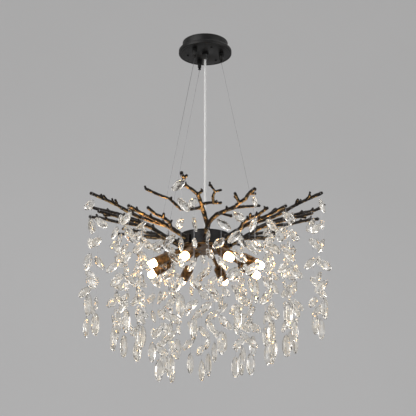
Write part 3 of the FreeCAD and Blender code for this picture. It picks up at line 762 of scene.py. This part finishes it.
@dataclass
class Assembly:
    """Pieces of the object that are built together."""

    finishes: Finishes

    def build(self) -> None:
        """Build every piece of the assembly."""
        raise NotImplementedError

    def show(self, piece: Piece, body: str, replaced: Sequence[str], slot: Slot) -> None:
        """Dress a finished piece, tie it to its body and hide the nodes that it stands for.

        Args:
            piece: The piece, in place.
            body: The body that it moves with.
            replaced: The nodes that it stands for.
            slot: The piece's material slot.
        """
        self.finishes.dress(piece, slot)
        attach(piece, body)
        if replaced:
            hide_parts(*replaced)

    def show_screws(self, node: str, seat: float, body: str, slot: Slot) -> None:
        """Put a domed screw in the place of each plain one.

        Args:
            node: The screws' node.
            seat: Height of the surface under their heads.
            body: The body that they move with.
            slot: Their material slot.
        """
        name = node.removesuffix("s")
        pattern = domed_screw(f"{name}_pattern", seat)
        for number, solid in enumerate(corners_of(node), 1):
            middle = middle_of(solid)
            screw = copied(pattern, f"{name}_{number}", Matrix.Translation((middle.x, middle.y, 0)))
            self.show(screw, body, [node], slot)
        discard(pattern)


# ---------------------------------------------------------------- canopy
@dataclass
class Canopy(Assembly):
    """Black two-step canopy with its three wire grips, the cord's gland and the hidden bracket."""

    can_radius: float = 56.0
    can_wall: float = 1.5
    can_height: float = 20.0
    seat_gap: float = 0.05
    plate_radius: float = 65.0
    plate_opening: float = 53.0
    plate_inside: float = 63.2
    bottom: float = -30.0
    sides: int = 72
    grip_count: int = 3
    gland_thread: float = 4.0

    def build(self) -> None:
        """Build every piece of the canopy."""
        self._can()
        self._plate()
        self._grips()
        gland = cord_gland("canopy_cord_gland", self.bottom, -1, self.gland_thread)
        self.show(gland, "canopy", ["canopy_gland"], Slot.BLACK_PLASTIC)
        self.show_screws("canopy_screws", self.bottom, "canopy", Slot.ENAMEL)
        for node, slot in (("ceiling_bracket", Slot.ZINC), ("terminal_block", Slot.WHITE_PLASTIC)):
            self.finishes.dress(frame["nodes"][node], slot)

    def _can(self) -> None:
        """Upper can with a thin wall and a soft lower edge."""
        outer, inner = self.can_radius, self.can_radius - self.can_wall
        low = -self.can_height + self.seat_gap
        profile = [(0, outer - 0.4), (-0.6, outer), (low, outer), (low, inner), (0, inner)]
        piece = turned("canopy_can", profile, self.sides, hollow=True, edge=0.35)
        self.show(piece, "canopy", ["canopy_base"], Slot.ENAMEL)

    def _plate(self) -> None:
        """Shallow dish with a rolled edge and a shallow groove under its rim."""
        rim, floor, top = self.plate_radius, self.bottom, -self.can_height
        profile = [(top, self.plate_opening), (top, rim - 1.2), (top - 0.5, rim - 0.3), (top - 1.6, rim),
                   (floor + 1.8, rim), (floor + 0.6, rim - 0.5), (floor, rim - 1.8), (floor, rim - 5),
                   (floor + 0.5, rim - 5.6), (floor + 0.5, rim - 6.6), (floor, rim - 7.2),
                   (floor, CORD_HOLE), (floor + 2, CORD_HOLE), (floor + 2, self.plate_inside),
                   (top - 1.5, self.plate_inside), (top - 1.5, self.plate_opening)]
        piece = turned("canopy_dish", profile, self.sides, hollow=True, edge=0.2)
        self.show(piece, "canopy", ["canopy_plate"], Slot.ENAMEL)

    def _grips(self) -> None:
        """Stepped grip barrels with a groove round their collars, and their release plungers."""
        floor = self.bottom
        barrel = [(floor + 5, 3.6), (floor, 3.6), (floor, 5.6), (floor - 0.5, 6), (floor - 3.2, 6),
                  (floor - 3.5, 5.5), (floor - 4.1, 5.5), (floor - 4.4, 6), (floor - 9.5, 6),
                  (floor - 10, 5.5), (floor - 10, 4.5), (floor - 17.5, 4.5), (floor - 18, 4.1),
                  (floor - 18, 2.8), (floor + 5, 2.8)]
        pattern = turned("grip_barrel", barrel, 32, hollow=True, edge=0.15)
        for number in range(1, self.grip_count + 1):
            plunger = f"grip_plunger_{number}"
            low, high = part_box(plunger)
            place = Matrix.Translation(((low.x + high.x) / 2, (low.y + high.y) / 2, 0))
            self.show(copied(pattern, f"grip_{number}", place), "canopy", ["grip_barrels"], Slot.ENAMEL)
            tip = low.z / MM
            profile = [(tip, 0.9), (tip, 3.0), (tip + 0.5, 3.6), (tip + 2.5, 3.6), (tip + 3, 3.2),
                       (tip + 3, 2.5), (tip + 15, 2.5)]
            pin = turned(f"grip_release_{number}", profile, 28, edge=0.12)
            self.show(placed(pin, place), plunger, [plunger], Slot.ENAMEL)
        discard(pattern)


# ---------------------------------------------------------------- hub
@dataclass
class Hub(Assembly):
    """Round drum hub: wall, two plates, gland, screws and the castings' bolts."""

    top: float = -489.0
    height: float = 36.0
    radius: float = 57.5
    wall: float = 2.9
    plate: float = 3.0
    sides: int = 96
    gland_thread: float = 6.0

    @property
    def bottom(self) -> float:
        """Height of the hub's underside."""
        return self.top - self.height

    def build(self) -> None:
        """Build every piece of the hub."""
        self._wall()
        self._plates()
        gland = cord_gland("hub_cord_gland", self.top, 1, self.gland_thread)
        self.show(gland, "light", ["hub_gland"], Slot.BLACK_PLASTIC)
        self.show_screws("hub_screws", self.bottom, "light", Slot.ZINC)
        for node in ("hub_posts", "branch_bolts"):
            self.finishes.dress(frame["nodes"][node], Slot.ZINC)

    def _wall(self) -> None:
        """Drum wall with a fine groove near each plate."""
        rim, inner = self.radius, self.radius - self.wall
        high, low = self.top - self.plate, self.bottom + self.plate
        profile = [(high, rim), (high - 0.6, rim), (high - 1, rim - 0.4), (high - 2, rim - 0.4),
                   (high - 2.4, rim), (low + 2.4, rim), (low + 2, rim - 0.4), (low + 1, rim - 0.4),
                   (low + 0.6, rim), (low, rim), (low, inner), (high, inner)]
        piece = turned("hub_wall", profile, self.sides, hollow=True)
        self.show(piece, "light", ["hub_drum"], Slot.ENAMEL)

    def _plates(self) -> None:
        """Lid with a hole for the cord, and floor with a shallow ring at its middle."""
        rim, top, bottom = self.radius, self.top, self.bottom
        profile = [(top, CORD_HOLE), (top, rim - 2.2), (top - 0.5, rim - 0.8), (top - 1.6, rim),
                   (top - self.plate, rim), (top - self.plate, CORD_HOLE)]
        lid = turned("hub_lid", profile, self.sides, hollow=True, edge=0.2)
        self.show(lid, "light", ["hub_top_plate"], Slot.ENAMEL)
        profile = [(bottom + self.plate, rim), (bottom + 1.4, rim), (bottom + 0.5, rim - 0.6),
                   (bottom, rim - 2.0), (bottom, 17), (bottom + 0.5, 16.2), (bottom + 0.5, 14.8),
                   (bottom, 14), (bottom, 4)]
        floor = turned("hub_floor", profile, self.sides, edge=0.2)
        self.show(floor, "light", ["hub_bottom_plate"], Slot.GOLD)


# ---------------------------------------------------------------- suspension
@dataclass
class Suspension(Assembly):
    """Three thin wires with their anchors, and the clear power cord."""

    travel: float = 0.2             # metres
    wire_radius: float = 0.45
    cord_radius: float = 2.9
    cord_core: float = 1.4
    lead_radius: float = 1.15
    lead_offset: float = 1.2
    lead_inset: float = 1.0
    lead_cuts: int = 90
    lead_turns: int = 14

    def build(self) -> None:
        """Build the wires, the anchors and the cord."""
        for number, solid in enumerate(corners_of("suspension_wires"), 1):
            self._wire(number, solid)
        for number, solid in enumerate(corners_of("wire_anchors"), 1):
            self._anchor(number, solid)
        self._cord()

    def _shortened(self, piece: Piece, bottom: float, top: float) -> None:
        """Give a piece on the light a mesh of its own.

        Args:
            piece: The piece.
            bottom: Height of its lower end in metres; not used.
            top: Height of its upper end in metres; not used.
        """
        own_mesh(piece)

    def _wire(self, number: int, solid: Sequence[Vector]) -> None:
        """One thin wire from its anchor up into its grip."""
        low_z, high_z = min(p.z for p in solid), max(p.z for p in solid)
        middle_z = (low_z + high_z) / 2
        low = middle_of([p for p in solid if p.z < middle_z])
        high = middle_of([p for p in solid if p.z > middle_z])
        length = (high - low).length / MM
        radius = self.wire_radius
        profile = [(0, radius * 0.9), (0.2, radius), (length - 0.2, radius), (length, radius * 0.9)]
        wire = turned(f"suspension_wire_{number}", profile, 12)
        placed(wire, direction_matrix(low, high - low))
        self.show(wire, "light", ["suspension_wires"], Slot.STEEL)
        self._shortened(wire, low.z, high.z)

    def _anchor(self, number: int, solid: Sequence[Vector]) -> None:
        """Turned anchor with a collar and a rounded top."""
        foot = min(p.z for p in solid)
        middle = middle_of(solid)
        profile = [(0, 1.5), (0, 2.9), (0.4, 3.0), (1.6, 3.0), (1.9, 2.6), (2.4, 2.6), (2.7, 3.0), (8.2, 3.0),
                   (9.6, 2.5), (11.2, 1.6), (12, 1.1)]
        anchor = turned(f"wire_anchor_{number}", profile, 28, edge=0.1)
        placed(anchor, Matrix.Translation((middle.x, middle.y, foot)))
        self.show(anchor, "light", ["wire_anchors"], Slot.STEEL)

    def _cord(self) -> None:
        """Clear sheath with two pale leads twisted inside it."""
        low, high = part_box("power_cord")
        bottom, top = low.z / MM, high.z / MM
        profile = [(bottom, self.cord_core), (bottom, self.cord_radius), (top, self.cord_radius),
                   (top, self.cord_core)]
        sheath = turned("cord_sheath", profile, 28)
        self.show(sheath, "light", ["power_cord"], Slot.SHEATH)
        self._shortened(sheath, low.z, high.z)
        pair = joined("cord_leads", [self._lead(side, bottom, top) for side in (-1, 1)])
        modify(pair, "SIMPLE_DEFORM", deform_method="TWIST", deform_axis="Z",
               angle=math.radians(360 * self.lead_turns))
        smooth(pair)
        self.show(pair, "light", ["power_cord"], Slot.WHITE_PLASTIC)
        self._shortened(pair, low.z, high.z)

    def _lead(self, side: int, bottom: float, top: float) -> Piece:
        """Straight lead, cut across often enough to be twisted.

        Args:
            side: Which side of the cord's middle it runs on, -1 or 1.
            bottom: Height of the cord's lower end.
            top: Height of the cord's upper end.

        Returns:
            The lead.
        """
        bpy.ops.object.select_all(action="DESELECT")
        middle = (side * self.lead_offset * MM, 0, (top + bottom) / 2 * MM)
        bpy.ops.mesh.primitive_cylinder_add(vertices=10, radius=self.lead_radius * MM, location=middle,
                                            depth=(top - bottom - 2 * self.lead_inset) * MM)
        lead = named(f"lead_{side}")
        with editing(lead):
            bpy.ops.mesh.select_all(action="DESELECT")
        for edge in lead.data.edges:
            first, second = (lead.data.vertices[index].co for index in edge.vertices)
            edge.select = abs(first.z - second.z) > 0.1
        select_only(lead)
        bpy.ops.object.mode_set(mode="EDIT")
        bpy.ops.mesh.select_mode(type="EDGE")
        bpy.ops.mesh.subdivide(number_cuts=self.lead_cuts)
        bpy.ops.object.mode_set(mode="OBJECT")
        return lead


# ---------------------------------------------------------------- castings
@dataclass
class Branches(Assembly):
    """Eight branch castings: knotty limbs with rounded tips, rubbed with gold, which gathers on their
    undersides as painted light from the lamps below.
    """

    count: int = 8
    voxel: float = 1.15
    smoothing: int = 7
    swell: float = 0.00035          # metres, like all lengths from here on
    knot_size: float = 0.011
    knot_depth: float = 0.002
    bark_size: float = 0.0028
    bark_depth: float = 0.0006
    spur_root: float = 0.085
    spur_gap: float = 0.026
    spur_clearance: float = 0.012
    spur_lean: float = 0.9
    # painted light: the undersides get more gold, as if lit by the lamps below
    underlight_level: float = 0.5
    underlight_slope: float = 0.55

    def build(self) -> None:
        """Build every casting."""
        knots = self._cloud("knots", self.knot_size)
        bark = self._cloud("bark", self.bark_size)
        profile = [(-2.5, 2.7), (0.6, 2.4), (2.2, 1.9), (3.4, 1.9), (4.4, 2.4), (5.4, 2.3), (6.2, 1.1)]
        spur = turned("spur_pattern", profile, 10)
        hung = [middle_of(solid).xy for joint in frame["joints"] if "strands" in joint["child"]
                for solid in corners_of(joint["child"])]
        hung += [middle_of(solid).xy for solid in corners_of("wire_anchors")]
        for number in range(1, self.count + 1):
            self._casting(number, knots, bark, spur, hung)
        discard(spur)

    @staticmethod
    def _cloud(name: str, size: float) -> bpy.types.Texture:
        """Cloud texture that pushes a surface in and out."""
        texture = bpy.data.textures.new(name, "CLOUDS")
        texture.noise_scale = size
        texture.noise_depth = 2
        return texture

    def _spur_places(self, piece: Piece, hung: Sequence[Vector]) -> list[Matrix]:
        """Places on the upper sides of the limbs for short side twigs, clear of all that hangs.

        Args:
            piece: The casting's plain skin.
            hung: Where strands and wires hang, seen from above.

        Returns:
            A matrix for each twig.
        """
        corners = piece.data.vertices
        taken: list[Vector] = []
        places = []
        for face in piece.data.polygons:
            first, second, third = (corners[index].co for index in face.vertices[:3])
            spot = face.center.lerp(second, scatter(face.index, 0.618, 0.2, 0.6) * 0.5)
            outward = Vector((spot.x, spot.y, 0))
            if face.normal.z < 0.1 or outward.length < self.spur_root:
                continue
            if any((spot - other).length < self.spur_gap for other in taken):
                continue
            if any((spot.xy - line).length < self.spur_clearance for line in hung):
                continue
            taken.append(spot)
            limb = max((second - first, third - second, first - third), key=lambda side: side.length)
            limb = limb.normalized() * (1 if limb.dot(outward) > 0 else -1)
            size = scatter(face.index, 0.37, 0.75, 0.5)
            place = direction_matrix(spot, face.normal + limb * self.spur_lean)
            places.append(place @ Matrix.Diagonal((1, 1, size, 1)))
        return places

    def _casting(self, number: int, knots: bpy.types.Texture, bark: bpy.types.Texture, spur: Piece,
                 hung: Sequence[Vector]) -> None:
        """One casting, remeshed from its node and its side twigs into a single skin.

        Args:
            number: The casting's number.
            knots: Cloud of its knots.
            bark: Cloud of its bark.
            spur: Pattern of a side twig.
            hung: Where strands and wires hang, seen from above.
        """
        node = f"branch_{number}"
        piece = bpy.data.objects.new(f"casting_{number}", frame["nodes"][node].data.copy())
        bpy.context.scene.collection.objects.link(piece)
        with editing(piece):
            bpy.ops.mesh.remove_doubles(threshold=1e-6)
            bpy.ops.mesh.normals_make_consistent(inside=False)
        spurs = [copied(spur, "spur", place) for place in self._spur_places(piece, hung)]
        piece = joined(f"casting_{number}", [*spurs, piece])
        LOG.info("casting %d: %d side twigs", number, len(spurs))
        modify(piece, "REMESH", mode="VOXEL", voxel_size=self.voxel * MM)
        modify(piece, "SMOOTH", factor=0.5, iterations=self.smoothing)
        modify(piece, "DISPLACE", strength=self.swell, mid_level=0.0)
        modify(piece, "DISPLACE", texture=knots, strength=self.knot_depth, mid_level=0.5)
        modify(piece, "DISPLACE", texture=bark, strength=self.bark_depth, mid_level=0.5)
        select_only(piece)
        bpy.ops.object.shade_smooth()
        # painted light: 1 on undersides and 0 on tops, for gold as if lit by the lamps below
        gold_rub_and_underlight = piece.data.attributes.new("gold_rub_and_underlight", "FLOAT", "POINT")
        gold_rub_and_underlight.data.foreach_set("value", [self.underlight_level - self.underlight_slope * normal.vector.z
                                       for normal in piece.data.vertex_normals])
        self.show(piece, "light", [node], Slot.BRONZE)
        LOG.info("casting %d: %d faces", number, len(piece.data.polygons))


# ---------------------------------------------------------------- lamps
@dataclass
class Lamps(Assembly):
    """Eight capsule lamps under the hub, each on a tilted arm; heights run along the lamp from its foot."""

    count: int = 8
    cup_length: float = 40.0
    cup_radius: float = 11.5
    cup_wall: float = 1.2
    socket_depth: float = 5.3
    socket_length: float = 15.9
    bulb_radius: float = 8.5
    bulb_depth: float = 9.5
    bulb_neck: float = 12.2
    bulb_length: float = 50.3
    heat_length: float = 7.0
    hub_bottom: float = Hub.top - Hub.height
    foot_gap: float = 0.02

    @property
    def bulb_base(self) -> float:
        """Where the bulb's base ends in the socket, as the frame has it."""
        base, axis = self._base(1)
        return (base.z / MM - self.hub_bottom) / axis.z

    @property
    def arm_length(self) -> float:
        """Where the arm ends and the cup starts."""
        return self.bulb_base - self.bulb_depth

    @property
    def socket_back(self) -> float:
        """Where the socket sits on the cup's floor."""
        return self.arm_length + self.socket_depth

    @staticmethod
    def _base(number: int) -> tuple[Vector, Vector]:
        """Middle of a bulb's base and the direction in which the bulb points.

        Args:
            number: The lamp's number.

        Returns:
            The place and the direction.
        """
        axis = Vector(next(joint for joint in frame["joints"] if joint["child"] == f"bulb_{number}")["axis"])
        corners = corners_of(f"bulb_{number}")[0]
        start = min(corner.dot(axis) for corner in corners)
        return middle_of([corner for corner in corners if corner.dot(axis) < start + 0.5 * MM]), axis

    def build(self) -> None:
        """Build all lamps from one modelled set."""
        arm, cup, socket, bulb = self._arm(), self._cup(), self._socket(), self._bulb()
        seat = (0, 0, (self.hub_bottom + self.foot_gap) * MM)
        for number in range(1, self.count + 1):
            base, axis = self._base(number)
            place = direction_matrix(base - axis * self.bulb_base * MM, axis)
            tilted = copied(arm, f"lamp_arm_{number}", place)
            with editing(tilted):
                bpy.ops.mesh.bisect(plane_co=seat, plane_no=(0, 0, 1), use_fill=True, clear_outer=True)
            self.show(tilted, "light", ["lamp_arms"], Slot.GOLD)
            self.show(copied(cup, f"lamp_cup_{number}", place), "light", ["lamp_cups"], Slot.GOLD)
            self.show(copied(socket, f"lamp_socket_{number}", place), "light", ["lamp_sockets"], Slot.CERAMIC)
            node = f"bulb_{number}"
            self.show(copied(bulb, f"capsule_{node}", place), node, [node], Slot.BULB)
        discard(arm, cup, socket, bulb)

    def _arm(self) -> Piece:
        """Arm with a flared foot and a ring at the cup; its foot is cut flat when it is in place."""
        end = self.arm_length
        profile = [(-15, 6.4), (4.4, 6.4), (5.4, 6.1), (8, 5.2), (13, 4.5), (20, 4.1), (end - 4, 3.9),
                   (end - 3.6, 4.6), (end - 1.6, 4.6), (end - 1.2, 3.9), (end, 3.9)]
        return turned("arm_pattern", profile, 32)

    def _cup(self) -> Piece:
        """Thin-walled cup with a rounded shoulder, a groove near its mouth and a soft lip."""
        back, rim, inner = self.arm_length, self.cup_radius, self.cup_radius - self.cup_wall
        floor, mouth = self.socket_back, back + self.cup_length
        profile = [(back, 4.4), (back, 5.4), (back + 0.8, 7.6), (back + 2.2, 9.9), (back + 4, rim - 0.3),
                   (back + 5.6, rim), (mouth - 3.6, rim), (mouth - 3.2, rim - 0.4), (mouth - 2.6, rim - 0.4),
                   (mouth - 2.2, rim), (mouth - 0.3, rim), (mouth, rim - 0.3), (mouth, inner + 0.2),
                   (mouth - 0.4, inner), (back + 6, inner), (floor, inner - 0.7), (floor, 3)]
        return turned("cup_pattern", profile, 40, edge=0.12)

    def _socket(self) -> Piece:
        """Glazed socket with a rounded front and a recess for the bulb's base."""
        back, front = self.socket_back, self.socket_back + self.socket_length
        profile = [(back, 5), (back, 9.5), (back + 0.7, 9.8), (front - 1, 9.8), (front, 8.9), (front, 6.3),
                   (front - 0.7, 5.3), (back + 4, 5.3), (back + 3.9, 3)]
        return turned("socket_pattern", profile, 32)

    def _bulb(self) -> Piece:
        """Capsule bulb: a narrow base and a domed glass, brightest away from the base."""
        base, wide = self.bulb_base, self.bulb_radius
        glass, end = base + self.bulb_neck, base + self.bulb_length
        profile = [(base, 4.4), (base + 0.5, 5), (glass, 5), (glass + 1, 5.8), (glass + 2, wide - 1),
                   (glass + 3.4, wide), (end - 7, wide), (end - 4.4, wide - 0.5), (end - 2.3, wide - 1.8),
                   (end - 0.9, wide - 3.6), (end - 0.2, 2.8), (end, 1)]
        bulb = turned("bulb_pattern", profile, 32)
        heat = bulb.data.attributes.new("heat", "FLOAT", "POINT")
        heat.data.foreach_set("value", [min(1.0, max(0.0, (corner.co.z / MM - glass) / self.heat_length))
                                        for corner in bulb.data.vertices])
        return bulb


# ---------------------------------------------------------------- crystal strands
@dataclass(frozen=True)
class Cut:
    """How a crystal is cut."""

    segments: int           # facets round it
    rings: int              # rows of facets from tip to tip
    size: Triple            # width, thickness and length
    lean: float             # how far its widest part lies below the middle, as a share of the length
    sharpness: float        # how much its ends are drawn in to points
    taper: float = 1.3      # how late along its length they are drawn in


@dataclass
class Strands(Assembly):
    """Strands of cut crystals on thin wire, hung from small loops round the limbs."""

    leaf: Cut = Cut(8, 6, (24.6, 14.6, 38.2), 0.0, 0.25)
    drop: Cut = Cut(10, 8, (27.5, 20.0, 50.0), 0.06, 0.3)
    leaf_corners: int = 8           # a plain solid with more corners stands for a drop
    roll: float = 7.0               # degrees
    wire_radius: float = 0.28
    wire_spread: float = 1.5
    wire_tail: float = 2.5
    bead_seat: float = 0.6
    loop_radius: float = 4.9
    loop_wire: float = 0.35
    close_groups: tuple[str, ...] = ("main_strands_8", "side_strands_8")
    close_gap: float = 0.038        # metres
    close_size: Triple = (0.54, 0.54, 0.86)

    def build(self) -> None:
        """Build the strands of every group."""
        leaf = self._pattern("leaf_pattern", self.leaf)
        drop = self._pattern("drop_pattern", self.drop)
        bead = turned("bead_pattern", [(-0.8, 0.5), (-0.4, 0.95), (0.4, 0.95), (0.8, 0.5)], 8)
        loops: list[Piece] = []
        groups = [joint["child"] for joint in frame["joints"] if "strands" in joint["child"]]
        for group in groups:
            self._group(group, leaf, drop, bead, loops)
        self.show(joined("hook_loops", loops), "light", [], Slot.STEEL)
        discard(leaf, drop, bead)

    @staticmethod
    def _pattern(name: str, cut: Cut) -> Piece:
        """Faceted crystal along +Z, pointed at both ends.

        Args:
            name: The piece's name.
            cut: How it is cut.

        Returns:
            The crystal, at the origin.
        """
        bpy.ops.object.select_all(action="DESELECT")
        bpy.ops.mesh.primitive_uv_sphere_add(segments=cut.segments, ring_count=cut.rings, radius=0.5)
        piece = named(name)
        levels = sorted({round(corner.co.z, 5) for corner in piece.data.vertices})[1:-1]
        for row, level in enumerate(levels):
            for corner in piece.data.vertices:
                corner.select = abs(corner.co.z - level) < 1e-4
            centre = (0, 0, level)
            pinch = 1.0 - cut.sharpness * abs(level * 2) ** cut.taper
            select_only(piece)
            bpy.ops.object.mode_set(mode="EDIT")
            bpy.ops.mesh.select_mode(type="VERT")
            bpy.ops.transform.resize(value=(pinch, pinch, 1), center_override=centre)
            if row % 2:
                bpy.ops.transform.rotate(value=math.pi / cut.segments, orient_axis="Z",
                                         center_override=centre)
            bpy.ops.transform.translate(value=(0, 0, -cut.lean * (1 - (level * 2) ** 2)))
            bpy.ops.object.mode_set(mode="OBJECT")
            for element in (*piece.data.vertices, *piece.data.edges, *piece.data.polygons):
                element.select = False
        with editing(piece):
            bpy.ops.mesh.quads_convert_to_tris(quad_method="SHORTEST_DIAGONAL")
            bpy.ops.transform.resize(value=tuple(side * MM for side in cut.size), center_override=(0, 0, 0))
            bpy.ops.mesh.normals_make_consistent(inside=False)
        return piece

    def _is_wire(self, solid: Sequence[Vector]) -> bool:
        """Whether a solid of a strand is a stretch of its wire and not a crystal."""
        middle = middle_of(solid)
        return max((corner.xy - middle.xy).length for corner in solid) < self.wire_spread * MM

    def _group(self, group: str, leaf: Piece, drop: Piece, bead: Piece, loops: list[Piece]) -> None:
        """The crystals and wires of one group.

        Args:
            group: The group's node, also the name of its body.
            leaf: Pattern of a small crystal.
            drop: Pattern of a bottom crystal.
            bead: Pattern of a stop bead.
            loops: Takes the loops round the limb.
        """
        wires: dict[tuple, list[tuple[float, float]]] = {}
        crystals = []
        near = self._neighbours(group)
        for solid in corners_of(group):
            middle = middle_of(solid)
            if self._is_wire(solid):
                heights = [corner.z for corner in solid]
                spans = wires.setdefault((round(middle.x, 4), round(middle.y, 4)), [])
                spans.append((min(heights), max(heights)))
            else:
                pattern = drop if len(solid) > self.leaf_corners else leaf
                close = any((middle - spot).length < self.close_gap for spot in near)
                size = self.close_size if close else (1.0, 1.0, 1.0)
                crystals.append(self._crystal(solid, pattern, len(crystals), size))
        metal = []
        axis = Vector(next(joint for joint in frame["joints"] if joint["child"] == group)["axis"])
        tail = self.wire_tail * MM
        for (x, y), spans in wires.items():
            low, top = min(span[0] for span in spans), max(span[1] for span in spans)
            wire = turned("wire", [(0, self.wire_radius), ((top - low + tail) / MM, self.wire_radius)], 6)
            metal.append(placed(wire, Matrix.Translation((x, y, low - tail))))
            seats = [span[0] + self.bead_seat * MM for span in spans]
            seats += [span[1] - self.bead_seat * MM for span in spans if span[1] < top]
            metal += [copied(bead, "bead", Matrix.Translation((x, y, seat))) for seat in seats]
            limb = Vector((x, y, 0)) if group.startswith("inner") else axis
            loops.append(self._loop(Vector((x, y, top)), limb))
        self.show(joined(f"crystals_{group}", crystals), group, [group], Slot.CRYSTAL)
        self.show(smooth(joined(f"wires_{group}", metal)), group, [group], Slot.STEEL)
        LOG.info("%s: %d crystals", group, len(crystals))

    def _neighbours(self, group: str) -> list[Vector]:
        """Middles of the crystals that swing closest to a group's own.

        Args:
            group: The group's node.

        Returns:
            The middles, none for a group that hangs free.
        """
        if group not in self.close_groups:
            return []
        return [middle_of(solid) for other in self.close_groups if other != group
                for solid in corners_of(other) if not self._is_wire(solid)]

    def _crystal(self, solid: Sequence[Vector], pattern: Piece, index: int, size: Triple) -> Piece:
        """A cut crystal in the place of its plain solid.

        Args:
            solid: Corners of the plain solid.
            pattern: The crystal to copy.
            index: Its number in the group, which turns it a little.
            size: Its size against the pattern's, slimmer where groups swing close to each other.

        Returns:
            The crystal.
        """
        upper, lower = max(((a, b) for a in solid for b in solid if a.z >= b.z),
                           key=lambda pair: (pair[0] - pair[1]).length)
        centre, unit = (upper + lower) / 2, (upper - lower).normalized()
        across = max(((corner - centre) - unit * (corner - centre).dot(unit) for corner in solid),
                     key=lambda offset: offset.length)
        turn = math.radians(self.roll) * math.sin(index * 2.4 + centre.x * 40)
        place = direction_matrix(centre, unit, across) @ Matrix.Rotation(turn, 4, "Z")
        return copied(pattern, "crystal", place @ Matrix.Diagonal((*size, 1)))

    def _loop(self, hook: Vector, limb: Vector) -> Piece:
        """Wire loop round a limb, just above a strand.

        Args:
            hook: The strand's upper end.
            limb: Direction of the limb.

        Returns:
            The loop.
        """
        radius = self.loop_radius * MM
        bpy.ops.object.select_all(action="DESELECT")
        bpy.ops.mesh.primitive_torus_add(major_radius=radius, minor_radius=self.loop_wire * MM,
                                         major_segments=28, minor_segments=6)
        loop = named("loop")
        return smooth(placed(loop, direction_matrix(hook + Vector((0, 0, radius)), limb)))


# ---------------------------------------------------------------- stage
@dataclass(frozen=True)
class SoftLight:
    """Square soft light; its place and size are metres."""

    name: str
    place: Triple
    size: float
    power: float            # watts

    def build(self, aim: Vector) -> None:
        """Hang the light, out of the camera's sight.

        Args:
            aim: The point that it faces.
        """
        lamp = bpy.data.lights.new(self.name, "AREA")
        lamp.size = self.size
        lamp.energy = self.power
        holder = bpy.data.objects.new(self.name, lamp)
        holder.location = self.place
        holder.rotation_euler = (aim - Vector(self.place)).to_track_quat("-Z", "Y").to_euler()
        holder.visible_camera = False
        bpy.context.scene.collection.objects.link(holder)


@dataclass
class Stage:
    """Pale wall and floor, soft lights and the camera; lengths are metres, apart from the lens."""

    lights: tuple[SoftLight, ...] = (SoftLight("key", (-2.4, -2.2, 0.5), 2.8, 70.0),
                                     SoftLight("fill", (2.6, -1.8, -0.4), 2.6, 36.0),
                                     SoftLight("top", (0.7, 0.5, 2.0), 2.4, 30.0))
    aim: Triple = (0.0, 0.0, -0.6)
    floor: float = -4.0
    wall: float = 4.5
    width: float = 16.0
    wall_share: float = 0.7
    cove: float = 1.0
    room: float = 0.45
    room_seen: float = 1.0
    room_colour: Colour = (1.0, 0.985, 0.96)
    camera_place: Triple = (0.007, -2.183, -1.071)
    camera_rise: float = 16.5       # degrees above level
    lens: float = 83.9
    sensor: float = 36.0

    def build(self) -> None:
        """Build the surroundings."""
        self._sweep()
        for light in self.lights:
            light.build(Vector(self.aim))
        self._room()
        bpy.context.scene.view_settings.view_transform = "Standard"
        self._camera()

    def _room(self) -> None:
        """Soft light from all round, which the camera and clear glass see as pale."""
        world = bpy.data.worlds.new("soft_room")
        world.use_nodes = True
        nodes, links = world.node_tree.nodes, world.node_tree.links
        background = nodes["Background"]
        background.inputs["Color"].default_value = (*self.room_colour, 1.0)
        path = nodes.new("ShaderNodeLightPath")
        level = nodes.new("ShaderNodeMapRange")
        level.inputs["To Min"].default_value = self.room
        level.inputs["To Max"].default_value = self.room_seen
        seen = nodes.new("ShaderNodeMath")
        seen.operation = "MAXIMUM"
        links.new(path.outputs["Is Camera Ray"], seen.inputs[0])
        links.new(path.outputs["Is Transmission Ray"], seen.inputs[1])
        links.new(seen.outputs[0], level.inputs["Value"])
        links.new(level.outputs["Result"], background.inputs["Strength"])
        bpy.context.scene.world = world

    def _sweep(self) -> None:
        """Floor that curves up into a wall behind the object."""
        bpy.ops.object.select_all(action="DESELECT")
        bpy.ops.mesh.primitive_plane_add(size=self.width,
                                         location=(0, self.wall - self.width / 2, self.floor))
        sweep = named("backdrop")
        corners = sweep.data.vertices
        back = self.wall - 0.1
        for edge in sweep.data.edges:
            edge.select = all(corners[index].co.y > back for index in edge.vertices)
        for face in sweep.data.polygons:
            face.select = False
        for corner in corners:
            corner.select = corner.co.y > back
        select_only(sweep)
        bpy.ops.object.mode_set(mode="EDIT")
        bpy.ops.mesh.select_mode(type="EDGE")
        rise = (0, 0, self.width * self.wall_share)
        bpy.ops.mesh.extrude_edges_move(TRANSFORM_OT_translate={"value": rise})
        bpy.ops.object.mode_set(mode="OBJECT")
        modify(sweep, "BEVEL", width=self.cove, segments=10, limit_method="ANGLE",
               angle_limit=math.radians(60))
        smooth(sweep, 60)
        sweep.data.materials.append(Backdrop().material())

    def _camera(self) -> None:
        """Camera at the photograph's viewing angle, a little below the object and looking up."""
        camera = bpy.data.cameras.new("camera")
        camera.lens = self.lens
        camera.sensor_width = self.sensor
        holder = bpy.data.objects.new("camera", camera)
        holder.location = self.camera_place
        holder.rotation_euler = (math.radians(90 + self.camera_rise), 0, 0)
        bpy.context.scene.collection.objects.link(holder)
        bpy.context.scene.camera = holder


def main() -> None:
    """Build the scene piece by piece."""
    logging.basicConfig(level=logging.INFO, format="%(message)s")
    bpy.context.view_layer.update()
    finishes = Finishes()
    for assembly in (Canopy, Hub, Suspension, Branches, Lamps, Strands):
        assembly(finishes).build()
        LOG.info("built %s", assembly.__name__)
    Stage().build()


if __name__ == "__main__":
    main()
